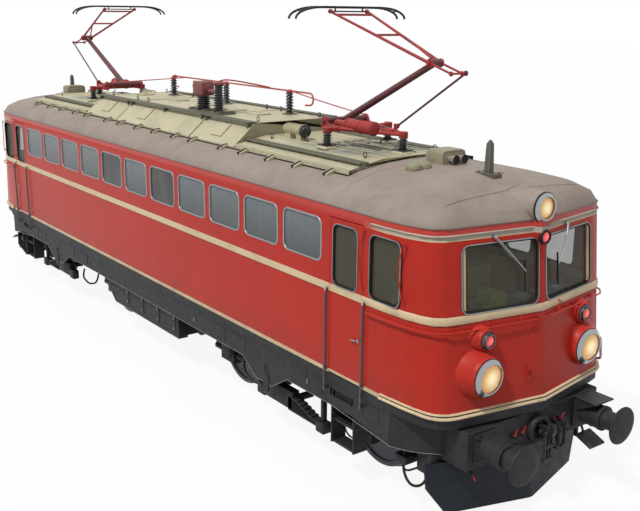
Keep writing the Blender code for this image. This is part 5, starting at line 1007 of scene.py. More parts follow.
def walkway_bars(low_x, high_x, edge, top):
    """Two bars on brackets, a hair proud of the frame's own."""
    forms = []
    for y in (edge, edge - 0.09):
        forms.append(bar((low_x - 0.001, y - 0.0615, top - 0.0215),
                         (high_x + 0.001, y + 0.0015, top + 0.002), 0.004))
    for x in np.linspace(low_x + 0.06, high_x - 0.06, max(2, round((high_x - low_x) / 0.9))):
        forms.append(bar((x - 0.0215, edge - 0.152, top - 0.092), (x + 0.0215, edge - 0.008, top - 0.008),
                         0.003))
    return both_sides(forms)


def eye_ring(x, y, z, radius=0.034):
    """A lifting eye: a ring that stands on its edge, on a small foot."""
    angle = np.arange(8) * math.tau / 8
    section = np.column_stack([0.006 * np.cos(angle), radius + 0.006 * np.sin(angle)])
    foot = [(-0.004, 0.018), (0.006, 0.018), (0.012, 0.008)]
    return [hoop(section, (x, y, z + radius + 0.008), "Y", 16), turned(foot, (x, y, z), "Z", SMALL)]


def make_hatch_fittings():
    """Walkways, clips, lifting eyes, seals and covers on the five hatches. The first and the last
    are low and ribbed, and the three between are high, with square covers on slopes and top."""
    ways, ribs, clips, clip_irons, eyes, lids, seals = [], [], [], [], [], [], []
    for low_x, high_x in zip(HATCH_EDGES_X, HATCH_EDGES_X[1:]):
        low = abs(low_x + high_x) > 6
        low_x, high_x = low_x + 0.015, high_x - 0.015
        length = high_x - low_x
        is_long = length > 2
        ways += walkway_bars(low_x, high_x, *((0.93, 4.01) if low else (0.84, 4.24)))
        seals += both_sides([bar((low_x, 1.098, 3.855), (high_x, 1.108, 3.878), 0.003)])
        for x in low_x + length * np.array((0.12, 0.38, 0.62, 0.88) if is_long else (0.16, 0.84)):
            for half, rise, reach, forms in ((0.055, 0.0, 1.24, clips), (0.016, 0.010, 1.26, clip_irons)):
                section = [(1.06, 3.875), (1.06, 3.910), (1.13, 3.908), (reach, 3.862), (reach, 3.835),
                           (1.13, 3.872)]
                forms += both_sides([prism(np.array(section) + (0, rise), x - half, x + half, "X")])
        for x in low_x + length * np.array((0.10, 0.90)):
            eyes += both_sides(eye_ring(x, *((0.62, 4.018) if low else (0.58, 4.22))))
        if low:
            for y in np.linspace(-0.50, 0.50, 8):
                ribs.append(bar((low_x + 0.02, y - 0.011, 4.026), (high_x - 0.02, y + 0.011, 4.041), 0.004))
        else:
            slope = np.array(Matrix.Rotation(-math.atan2(0.324, 0.381), 3, "X"))
            flat = bar((-0.15, -0.13, -0.004), (0.15, 0.13, 0.016), 0.006)
            centre = (low_x + length * (0.3 if is_long else 0.5), 0.911, 4.066)
            lids += both_sides([moved((flat[0] @ slope.T, flat[1]), centre)])
            for x in np.linspace(low_x + 0.35, high_x - 0.35, 3 if is_long else 1):
                lids.append(bar((x - 0.16, -0.14, 4.215), (x + 0.16, 0.14, 4.245), 0.012))
                lids.append(turned([(4.24, 0.05), (4.252, 0.05), (4.258, 0.035)], (x, 0, 0), "Z", SMALL))
        edge = [(1.102, 3.86), (1.102, 3.932), (0.551, 4.036)] if low else [(1.102, 3.86), (1.102, 3.902),
                                                                            (0.721, 4.226)]
        outline = edge + [(-y, z) for y, z in edge[::-1]]
        lids += [prism(outline, x - 0.02, x + 0.02, "X") for x in (low_x + 0.02, high_x - 0.02)]
    made("walkways", ways, "walkway")
    made("hatch_ribs", ribs, "planks")
    made("hatch_clips", clips, "hatch")
    made("hatch_clip_irons", clip_irons, "bow")
    made("lifting_eyes", eyes, "bow")
    made("hatch_lids", lids, "hatch")
    made("hatch_seals", seals, "black")


def make_roof_fittings():
    """The gutter and the cant's bead, then the horn box, vents, antenna and cylinder of each end."""
    section = [(-0.004, 3.497), (0.012, 3.499), (0.016, 3.510), (0.010, 3.518), (-0.004, 3.518)]
    made("roof_gutter", both_ends([nose_bead(section, 6.20)]), "gutter")
    section = [(-0.004, 3.584), (0.006, 3.585), (0.009, 3.590), (0.004, 3.597), (-0.004, 3.597)]
    made("cant_bead", both_ends([nose_bead(section, 0.0)]), "roof_dark")
    for (end, s), horn_x, cylinder_x in zip(ENDS, (5.66, 6.15), (3.05, 3.37)):
        box = bar((horn_x - 0.152, -0.102, 3.90), (horn_x + 0.152, 0.302, 4.172), 0.045)
        made(f"horn_box_{end}", at_end([box], s, s), "olive")
        profile = [(3.90, 0.102), (4.010, 0.102), (4.034, 0.096), (4.052, 0.078), (4.062, 0.05),
                   (4.064, 0.004)]
        rim = [(3.99, 0.100), (3.99, 0.108), (4.0, 0.108), (4.0, 0.100)]
        domes = []
        for centre in ((horn_x + 0.09, -0.53, 0), (horn_x + 0.09, -0.37, 0)):
            domes += [turned(profile, centre, "Z", ROUND), hoop(rim, centre, "Z")]
        made(f"vent_domes_{end}", at_end(domes, s, s), "olive")
        bell = [(-0.03, 0.033), (0.05, 0.036), (0.10, 0.047), (0.1205, 0.0575),
                (0.1205, 0.051), (0.09, 0.036), (0.05, 0.022), (-0.03, 0.018)]
        horns = []
        for centre in ((horn_x + 0.15, 0.025, 4.07), (horn_x + 0.15, 0.175, 4.07)):
            horns += [hoop(bell, centre, "X", FINE),
                      turned([(0.045, 0.03), (0.1206, 0.052)], centre, "X", FINE)]
        made(f"horns_{end}", at_end(horns, s, s), "black")
        mast = [level(round_panel((6.50, 0), (half, half), half * 0.2), z)
                for z, half in ((3.99, 0.0437), (4.3455, 0.0335), (4.39, 0.009))]
        foot = bar((6.348, -0.072, 3.90), (6.652, 0.072, 3.997), 0.006)
        made(f"antenna_{end}", at_end([foot, lofted(mast)], s), "antenna")
        places = [(x, y, 3.999) for x in (6.38, 6.62) for y in (-0.045, 0.045)]
        made(f"antenna_bolts_{end}", at_end(bolts(places, "Z", 0.012, 0.008), s), "bow")
        make_pressure_cylinder(end, s, (cylinder_x, -0.40, 4.17))


def make_pressure_cylinder(end, s, centre):
    """A ribbed cylinder lying along the roof, with a flange and a bent pipe at its front."""
    barrel = [(-0.262, 0.05), (-0.25, 0.066), (-0.22, 0.077), (0.20, 0.077), (0.20, 0.05)]
    rib = np.array([(-0.007, 0.074), (-0.005, 0.088), (0.005, 0.088), (0.007, 0.074)])
    ribs = [turned(barrel, centre, "X")]
    ribs += [hoop(rib + (along, 0), centre, "X", FINE) for along in np.linspace(-0.19, 0.16, 9)]
    made(f"pressure_cylinder_{end}", at_end(ribs, s, s), "hatch")
    flange = [(0.195, 0.078), (0.20, 0.098), (0.235, 0.098), (0.24, 0.08), (0.262, 0.076), (0.264, 0.03)]
    bend = np.array([(0.245, 0, -0.05), (0.27, 0, -0.11), (0.30, -0.01, -0.135)]) + centre
    made(f"pressure_flange_{end}", at_end([turned(flange, centre, "X"), pipe(bend, 0.018)], s, s),
         "ceramic")


# Pantographs


def disc_about_y(point, radius, low, high, steps=FINE):
    """A disc with softened rims on an axis across the locomotive."""
    rim = min(0.006, radius * 0.3, (high - low) * 0.3)
    profile = [(low, radius - rim), (low + rim, radius), (high - rim, radius), (high, radius - rim)]
    return turned(profile, (point[0], 0, point[2]), "Y", steps)


def at_y(point, y):
    """A point's X and height at another distance from the middle."""
    return np.array([point[0], y, point[2]])


def crossbar(point, half_length, radius, end_radius=None):
    """A rod across the locomotive, through a point."""
    return rod(at_y(point, -half_length), at_y(point, half_length), radius, end_radius)


def make_pantograph(end, s):
    """The arms in the pose of the photograph: every point follows from two lengths and two angles."""
    pivot, link = np.array(ARM_PIVOT), np.array(ROD_PIVOT)
    knee = pivot + ARM_LENGTH * np.array([math.cos(ARM_ANGLE), 0, math.sin(ARM_ANGLE)])
    tip = knee + UPPER_LENGTH * np.array([math.cos(UPPER_ANGLE), 0, math.sin(UPPER_ANGLE)])
    crank = knee + CRANK

    def add(name, forms, finish, part=None, covers=None):
        """One piece of this pantograph, on its part's body, in place of the frame's node that it covers."""
        body = f"pantograph_{part}_{end}" if part else "root"
        covers = [f"pantograph_{covers or part}_{end}"] if covers or part else ()
        slot = "pantograph_paint" if covers else None
        made(f"{name}_{end}", at_end(forms, s, s), finish, body, covers, slot)

    feet = [(4.00, -0.55), (4.00, 0.55), (4.95, 0.0)]
    add("pantograph_insulators", [insulator(foot, 4.078, 4.25, 0.076, 0.044, 5) for foot in feet],
        "ceramic")
    add("pantograph_stands", [pedestal(foot, 4.03, 0.112, 0.084, 0.048) for foot in feet], "hatch")
    plates = [bar((x - 0.10, y - 0.10, 4.072), (x + 0.10, y + 0.10, 4.084), 0.004) for x, y in feet]
    add("pantograph_stand_plates", plates, "bow")

    turn = np.linspace(0, math.pi, 9)
    hump = np.column_stack([pivot[0] + 0.06 * np.cos(turn), pivot[2] + 0.005 + 0.06 * np.sin(turn)])
    cheek = np.concatenate([[(4.0, 4.25), (4.0, 4.31), (3.80, 4.325)], hump, [(3.64, 4.25)]])
    base = both_sides([
        rod((4.00, 0.35, 4.28), (4.95, 0.02, 4.28), 0.030, 0.026, FINE),
        prism(cheek, 0.356, 0.386, "Y"),
        disc_about_y(pivot, 0.052, 0.35, 0.40),
        rod((3.82, 0.14, 4.29), (4.60, 0.10, 4.285), 0.020),
        bar((4.04, 0.105, 4.262), (4.10, 0.165, 4.318), 0.006),
    ])
    cap = [(4.235, 0.055), (4.25, 0.062), (4.312, 0.062), (4.32, 0.05)]
    base += [turned(cap, (*foot, 0), "Z") for foot in feet]
    base += [bar((3.965, -0.585, 4.25), (4.035, 0.585, 4.31), 0.016),
             crossbar((4.60, 0, 4.28), 0.15, 0.024)]
    drive = [(3.76, 0.03), (3.765, 0.048), (3.80, 0.0505), (3.96, 0.0505), (3.985, 0.06),
             (4.02, 0.088), (4.03, 0.0905), (4.60, 0.0905), (4.615, 0.085), (4.622, 0.05)]
    base.append(turned(drive, (0, -0.21, 4.33), "X", ROUND))
    strap = [(-0.014, 0.088), (-0.012, 0.0975), (0.012, 0.0975), (0.014, 0.088)]
    base += [hoop(strap, (x, -0.21, 4.33), "X") for x in (4.06, 4.33, 4.585)]
    base += [bar((x - 0.025, -0.27, 4.255), (x + 0.025, -0.15, 4.30), 0.006) for x in (4.10, 4.52)]
    base.append(bar((link[0] - 0.034, 0.1138, 4.25), (link[0] + 0.034, 0.1438, 4.386), 0.012))
    base.append(disc_about_y(link, 0.020, 0.13, 0.19))
    add("pantograph_frame", base, "panto", covers="base")

    lower = [rod(pivot, knee, 0.052, 0.042, FINE)] + both_sides([disc_about_y(pivot, 0.034, 0.404, 0.418)])
    for point, radius, half in (
            (pivot, 0.046, 0.354), (pivot, 0.026, 0.41), (knee, 0.051, 0.077), (knee, 0.020, 0.118)):
        lower.append(disc_about_y(point, radius, -half, half))
    add("pantograph_lower_arm_tube", lower, "maroon", "lower_arm")

    upper = both_sides([
        disc_about_y(knee, 0.056, 0.0788, 0.109),
        disc_about_y(knee, 0.030, 0.109, 0.135),
        disc_about_y(crank, 0.030, 0.079, 0.109),
        rod(at_y(knee, 0.094), at_y(crank, 0.094), 0.0155, 0.0135),
        rod(at_y(knee, 0.10), at_y(tip, 0.33), 0.0215, 0.0165, FINE),
        disc_about_y(tip, 0.030, 0.30, 0.345),
    ])
    upper.append(disc_about_y(crank, 0.013, -0.10, 0.143))
    upper += [crossbar(knee + (tip - knee) * share, 0.10 + 0.23 * share, 0.015) for share in (0.52, 0.93)]
    above = np.cross((tip - knee) / np.linalg.norm(tip - knee), (0, 1, 0))
    above *= math.copysign(1, above[2])
    middle = knee + (tip - knee) * 0.47
    upper.append(rod(at_y(knee, -0.10) + above * 0.07, at_y(middle, 0.205) + above * 0.012, 0.013))
    upper.append(rod(at_y(knee, -0.10), at_y(knee, -0.10) + above * 0.082, 0.016, 0.014))
    add("pantograph_upper_arm_tubes", upper, "panto", "upper_arm")

    top = tip[2] + 0.07
    turn = np.linspace(0, math.pi / 2, 9)
    horn = np.column_stack([0.52 + (0.975 - 0.52 - 0.016) * np.sin(turn),
                            top - 0.0165 - 0.153 * (1 - np.cos(turn))])
    half = np.concatenate([[(0.0, top - 0.0165), (0.30, top - 0.0165)], horn])
    bow = np.concatenate([(half * (-1, 1))[:0:-1], half])
    head = [crossbar(tip, 0.30, 0.010)]
    head += both_sides([disc_about_y(tip, 0.013, 0.296, 0.36, SMALL)])
    low_x, high_x = tip[0] - 0.08, tip[0] + 0.08
    for x in (low_x, high_x):
        head.append(pipe(np.column_stack([np.full(len(bow), x), bow]), 0.016, 10))
        head.append(bar((x - 0.017, -0.53, top - 0.016), (x + 0.017, 0.53, top), 0.004))
    for y in (0.24, 0.66, 0.84):
        z = np.interp(y, *half.T)
        head += both_sides([rod((low_x, y, z), (high_x, y, z), 0.009, sides=8)])
    head += both_sides([rod(at_y(tip, 0.24), (tip[0], 0.24, top - 0.012), 0.013, 0.010, 8)])
    add("pantograph_bows", head, "bow", "head")

    guide = [rod(at_y(link, 0.16), at_y(crank, 0.16), 0.0145)]
    guide += [disc_about_y(point, 0.034, 0.145, 0.175) for point in (link, crank)]
    add("pantograph_guide_rod", guide, "maroon", "rod")


def make_busbar():
    """The busbar on its posts, with a loop at each end and a lead to each pantograph."""
    y = BUSBAR_Y
    posts = [insulator((x, y), 4.235, 4.575, 0.078, 0.044, 7) for x in BUSBAR_POSTS_X]
    made("busbar_posts", posts, "ceramic")
    feet = [pedestal((x, y), 4.22, 0.10, 0.085, 0.02) for x in BUSBAR_POSTS_X]
    made("busbar_feet", feet, "walkway")
    turn = np.linspace(0, math.pi, 13)
    loop = np.column_stack([2.25 + 0.095 * np.sin(turn), np.full(13, y), 4.505 + 0.095 * np.cos(turn)])
    straight = np.linspace((0, y, 4.60), loop[0], 8)[:-1]
    path = np.concatenate([straight, loop, [(2.20, y, 4.41), (2.12, 0.43, 4.40)]])
    bars = both_ends([pipe(path, 0.014)])
    cap = [(4.57, 0.05), (4.582, 0.056), (4.60, 0.056), (4.622, 0.03)]
    bars += [turned(cap, (x, y, 0), "Z") for x in (-2.25, -0.3055, 1.692)]
    for sign in SIGNS:
        lead = [(1.69 * sign, y, 4.606), (2.6 * sign, 0.40 * sign, 4.50), (3.70 * sign, 0.371 * sign, 4.40)]
        bars.append(pipe(softened(lead, 0.5), 0.009))
    made("busbar", bars, "busbar", replaces=("roof_busbar",))


def make_breaker():
    """The circuit breaker: a deck, two ribbed columns, its housing, and a strap to the busbar."""
    base = [bar((0.25, -0.67, 4.22), (1.25, -0.33, 4.25), 0.008)]
    base += [bar((x - 0.03, -0.66, 4.24), (x + 0.03, -0.34, 4.275), 0.008) for x in (0.30, 0.76, 1.20)]
    made("breaker_base", base, "walkway", replaces=("circuit_breaker",), slot="breaker_metal")
    cone = [(0.19, 0.004), (0.192, 0.04), (0.21, 0.047), (0.32, 0.078), (0.36, 0.08)]
    columns = [insulator((0.50, -0.50), 4.25, 4.50, 0.14, 0.09, 7),
               insulator((1.00, -0.50), 4.25, 4.69, 0.10, 0.06, 11),
               turned(cone, (0, -0.50, 4.61), "X")]
    made("breaker_columns", columns, "ceramic")
    end_ring = [(0.66, 0.06), (0.665, 0.075), (0.69, 0.075), (0.70, 0.06)]
    cap = [(4.68, 0.085), (4.69, 0.09), (4.715, 0.09), (4.74, 0.05)]
    housing = [bar((0.332, -0.62, 4.48), (0.668, -0.38, 4.708), 0.03),
               turned(end_ring, (0, -0.50, 4.60), "X"),
               rod((0.66, -0.50, 4.56), (1.00, -0.50, 4.56), 0.038, sides=FINE),
               turned(cap, (1.00, -0.50, 0), "Z")]
    housing += bolts([(x, y, 4.708) for x in (0.37, 0.63) for y in (-0.59, -0.41)], "Z", 0.012, 0.009)
    made("breaker_housing", housing, "breaker")
    strap = [(1.00, -0.50, 4.735), (1.02, -0.40, 4.765), (1.06, -0.20, 4.74),
             (1.10, 0.10, 4.68), (1.12, 0.34, 4.63), (1.12, 0.42, 4.61)]
    made("breaker_strap", [pipe(softened(strap, 0.08), 0.012)], "busbar")


# Underneath and at the headstocks


def make_buffers(end, s):
    """Turned sleeves, plungers and heads on bolted square plates, and a ribbed tread over one."""
    sleeve = [(0.028, 0.172), (0.042, 0.172), (0.052, 0.153), (0.30, 0.149),
              (0.312, 0.158), (0.352, 0.158), (0.360, 0.151), (0.361, 0.118)]
    head = [(0.34, 0.118), (0.548, 0.117), (0.560, 0.135), (0.572, 0.190), (0.580, 0.232), (0.586, 0.2385),
            (0.594, 0.2395), (0.601, 0.236), (0.608, 0.215), (0.614, 0.175), (0.6185, 0.120), (0.62, 0.06),
            (0.62, 0.002)]
    clip = [(0.20, 0.148), (0.203, 0.156), (0.215, 0.156), (0.218, 0.148)]
    seat, plate_x, y, z = HEADSTOCK_FACE, HEADSTOCK_X + 0.03, BUFFER_Y, COUPLER_HEIGHT
    centre = (HEADSTOCK_X, y, z)
    forms = [bar((seat, y - 0.18, z - 0.18), (plate_x, y + 0.18, z + 0.18), 0.008),
             turned(sleeve, centre, "X", ROUND), turned(head, centre, "X", ROUND + 16),
             hoop(clip, centre, "X")]
    forms += bolts([(plate_x, y + 0.145 * a, z + 0.145 * b) for a in SIGNS for b in (-1, 0, 1)], "X", 0.02,
                   0.018)
    for side, y_sign in (("right", -s), ("left", s)):
        name = f"buffer_{end}_{side}"
        made(f"{name}_turned", at_end(forms, s, y_sign), "charcoal", replaces=(name,))
    tread = bar((seat, y - 0.18, 1.245), (HEADSTOCK_X + 0.33, y + 0.18, 1.2655), 0.005)
    made(f"buffer_tread_{end}", at_end([tread], s, s), "tread")
    outline = [(seat, 1.09), (seat, 1.25), (HEADSTOCK_X + 0.30, 1.25),
               (HEADSTOCK_X + 0.28, 1.225), (HEADSTOCK_X + 0.06, 1.11)]
    ribs = [prism(outline, rib_y - 0.008, rib_y + 0.008, "Y") for rib_y in (y - 0.168, y + 0.168)]
    ribs.append(bar((seat, y - 0.09, 1.19), (plate_x, y + 0.09, 1.25), 0.004))
    made(f"buffer_tread_ribs_{end}", at_end(ribs, s, s), "charcoal")


def make_coupling(end, s):
    """The draw ring with its bolts, the hook, the screw coupling, the brake cocks and the hoses,
    with every place counted from the middle of the headstock's face."""
    middle = np.array([HEADSTOCK_FACE, 0, COUPLER_HEIGHT])

    def add(name, forms, finish, replaces=()):
        """One piece of this end, lifted to the middle of its headstock's face."""
        made(f"{name}_{end}", at_end([moved(form, middle) for form in forms], s, s), finish,
             replaces=replaces)

    section = [(0, 0.174), (0.07, 0.174), (0.086, 0.166), (0.09, 0.150), (0.09, 0.126), (0.075, 0.116),
               (0, 0.116)]
    ring = [hoop(section, (0, 0, 0), "X"), turned([(0, 0.12), (0.028, 0.12), (0.032, 0.06)], (0, 0, 0), "X",
                                                  ROUND)]
    turn = np.arange(20) * math.tau / 20
    ring += bolts([(0.088, 0.145 * math.cos(a), 0.145 * math.sin(a)) for a in turn], "X", 0.0095, 0.012)
    add("draw_ring", ring, "charcoal", (f"coupling_{end}",))

    outline = [(0.02, -0.055), (0.16, -0.062), (0.235, -0.050), (0.28, -0.015), (0.297, 0.04),
               (0.297, 0.10), (0.285, 0.127), (0.262, 0.129), (0.247, 0.10), (0.240, 0.05),
               (0.222, 0.026), (0.200, 0.024), (0.184, 0.045), (0.178, 0.065), (0.02, 0.060)]
    x = 0.21
    hook = [prism(outline, -0.027, 0.027, "Y"), disc_about_y((0.13, 0, 0), 0.026, -0.075, 0.075)]
    hook += both_sides([disc_about_y((x, 0, 0), 0.032, 0.0525, 0.0805),
                        rod((x, 0.07, 0), (x, 0.07 * 0.66, -0.34), 0.017, 0.015)])
    for z, half, radius in ((0, 0.088, 0.024), (-0.17, 0.088, 0.026), (-0.34, 0.082, 0.024)):
        hook.append(crossbar((x, 0, z), half, radius))
    threads = [(0.012 * k - 0.33, 0.014 + 0.004 * (k % 2)) for k in range(26)]
    hook.append(turned(threads, (x, 0, 0), "Z", SMALL))
    hook.append(pipe([(x, 0.08, -0.17), (x + 0.02, 0.13, -0.19), (x + 0.02, 0.15, -0.25)], 0.010))
    add("draw_hook", hook, "hook")

    cocks, hoses = [], []
    socket = [(0, 0.034), (0.02, 0.034), (0.025, 0.026), (0.07, 0.026), (0.09, 0.020)]
    for y in (-0.42, -0.28, 0.30, 0.40):
        hoses.append(turned(socket, (0, y, 0), "X"))
        slant = 0.35 if y < 0 else 0.6 * math.copysign(1, y - 0.35)
        low = np.array([0.055, y, 0.02])
        cocks.append(rod(low, low + (0.01, 0.09 * math.sin(slant), 0.09 * math.cos(slant)), 0.0085, 0.007,
                         8))
        cocks.append(turned([(0.045, 0.014), (0.066, 0.014)], (0, y, 0.022), "X", SMALL))
    for y in (0.30, 0.40):
        path = [(0.054, y, 0), (0.094, y, -0.004), (0.126, y, -0.05), (0.126, y, -0.27), (0.094, y, -0.335),
                (0.044, y, -0.332), (0.022, y, -0.28), (0.009, y, -0.21)]
        hoses.append(pipe(softened(path, 0.05), 0.0165))
        for height in (-0.09, -0.26):
            hoses.append(turned([(height - 0.02, 0.021), (height + 0.02, 0.021)], (0.126, y, 0), "Z",
                                SMALL))
    hoses.append(bar((0, -0.42, -0.014), (0.028, 0.40, 0.014), 0.01))
    hoses.append(pipe([(0.01, -0.60, -0.08), (0.02, -0.2, -0.17), (0.02, 0.2, -0.18), (0.01, 0.58, -0.10)],
                      0.008))
    add("brake_cocks", cocks, "red")
    add("brake_hoses", hoses, "black")


def make_headstock(end, s):
    """The beam, its curved side panels, the shunter's step and the V-shaped guard."""
    panel = softened([(6.602, 1.541), (6.85, 1.42), (7.0, 1.27), (7.092, 1.156)], 0.12)
    panel = np.concatenate([panel, panel[::-1] - (0.02, 0.035)])
    rings = [level(panel, 0.885 - 0.04 * (panel[:, 0] - 6.6)), level(panel, 1.309)]
    beam = both_sides([lofted(rings), bar((7.46, 1.14, 0.81), (7.4905, 1.105, 1.27), 0.004)])
    beam.append(bar((7.055, -1.1585, 0.802), (7.4895, 1.1585, 1.279), 0.012))
    beam += [bar((7.47, -1.12, low), (7.4915, 1.12, high), 0.004) for low,
             high in ((1.235, 1.262), (0.822, 0.846))]
    places = [(7.491, y, height) for y in np.linspace(-0.62, 0.62, 9) for height in (1.248, 0.834)]
    beam += bolts(places, "X", 0.013, 0.009)
    made(f"headstock_beam_{end}", at_end(beam, s), "charcoal", replaces=(f"headstock_{end}",))
    edge = [(6.602, 1.548, 0.884), (6.85, 1.427, 0.873), (7.0, 1.277, 0.868), (7.10, 1.160, 0.864)]
    made(f"panel_edges_{end}", at_end(both_sides([pipe(softened(edge, 0.12), 0.005, 6)]), s), "edge")

    step = [prism([(7.34, 0.61), (7.58, 0.51), (7.58, 0.488), (7.34, 0.588)], 1.00, 1.30, "Y"),
            rod((7.38, 1.12, 0.60), (7.30, 1.10, 0.82), 0.016),
            bar((7.32, 0.985, 0.585), (7.362, 1.03, 0.83), 0.005)]
    made(f"shunter_step_{end}", at_end(step, s, s), "charcoal")

    guard_x, guard_slope = 7.42, 0.2963
    rings = []
    for height, foot in ((0.12, 0.10), (0.30, 0.071), (0.45, 0.047), (0.74, 0.0)):
        half = 1.13 + (1.35 - 1.13) * (height - 0.12) / (0.45 - 0.12) if height < 0.45 else 1.348
        y = np.array([half, 0.03, -0.03, -half])
        front = np.column_stack([guard_x + foot - guard_slope * np.abs(y), y, np.full(4, height)])
        rings.append(np.concatenate([front, front[::-1] - (0.028, 0, 0)]))
    made(f"rail_guard_{end}", at_end([lofted(rings)], s), "plough")
    stays = [
        bar((6.78, 1.02, 0.56), (7.02, 1.26, 0.88), 0.02),
        bar((6.98, 0.98, 0.50), (7.06, 1.08, 0.84), 0.01),
        rod((6.70, 1.16, 0.86), (6.98, 1.20, 0.36), 0.024, 0.022),
        bar((6.52, 1.16, 0.62), (6.72, 1.38, 0.72), 0.012),
        rod((6.62, 1.28, 0.70), (6.62, 1.22, 0.90), 0.018),
    ]
    for y in (0.24, 0.62):
        x = guard_x - guard_slope * y
        stays.append(bar((x - 0.10, y - 0.035, 0.60), (x - 0.025, y + 0.035, 0.81), 0.006))
    stays = both_sides(stays) + [pipe([(7.36, -1.02, 0.81), (7.42, -1.02, 0.74), (7.47, -1.02, 0.715)],
                                      0.020)]
    thick = [(6.62, 1.30, 0.86), (6.66, 1.36, 0.52), (6.82, 1.38, 0.40), (6.98, 1.34, 0.46),
             (7.00, 1.26, 0.60)]
    thin = [(6.56, 1.22, 0.88), (6.50, 1.26, 0.60), (6.60, 1.28, 0.46), (6.84, 1.24, 0.62)]
    hoses = both_sides([pipe(softened(thick, 0.1), 0.017), pipe(softened(thin, 0.1), 0.013)])
    made(f"guard_hoses_{end}", at_end(hoses, s), "black")
    made(f"guard_stays_{end}", at_end(stays, s), "charcoal")
    cock = rod((7.45, -1.02, 0.72), (7.50, -1.00, 0.65), 0.010, 0.008)
    made(f"corner_cock_{end}", at_end([cock], s, s), "red")


# Half of a wheelset's profile, as (distance from the middle, radius): axle, web, flange, tread, hub
WHEEL_PROFILE = np.array([
    (0.0, 0.10), (0.60, 0.10), (0.64, 0.13), (0.655, 0.155), (0.672, 0.16), (0.700, 0.19), (0.715, 0.30),
    (0.708, 0.46), (0.690, 0.545), (0.682, 0.56), (0.6805, 0.635), (0.686, 0.649), (0.694, 0.653),
    (0.704, 0.650), (0.714, 0.632), (0.724, 0.6258), (0.800, 0.6245), (0.812, 0.618), (0.8155, 0.606),
    (0.8150, 0.565), (0.806, 0.552), (0.785, 0.545), (0.768, 0.47), (0.766, 0.32), (0.782, 0.20),
    (0.800, 0.17), (0.835, 0.158), (0.840, 0.145), (0.842, 0.10), (0.96, 0.10), (0.963, 0.0745),
    (1.085, 0.0745), (1.09, 0.068),
])


def make_wheelset(end, name, s):
    """Two turned wheels on their axle: a coned tread, a flange, a dished web and a bored hub."""
    x = (PIVOT_X + (HALF_WHEELBASE if name == "outer" else -HALF_WHEELBASE)) * s
    profile = np.concatenate([(WHEEL_PROFILE * (-1, 1))[:0:-1], WHEEL_PROFILE])
    wheels = [turned(profile, (x, 0, WHEEL_RADIUS), "Y", ROUND + 16)]
    node = f"wheelset_{end}_{name}"
    made(f"wheels_{end}_{name}_turned", wheels, "wheel", node, (node,))


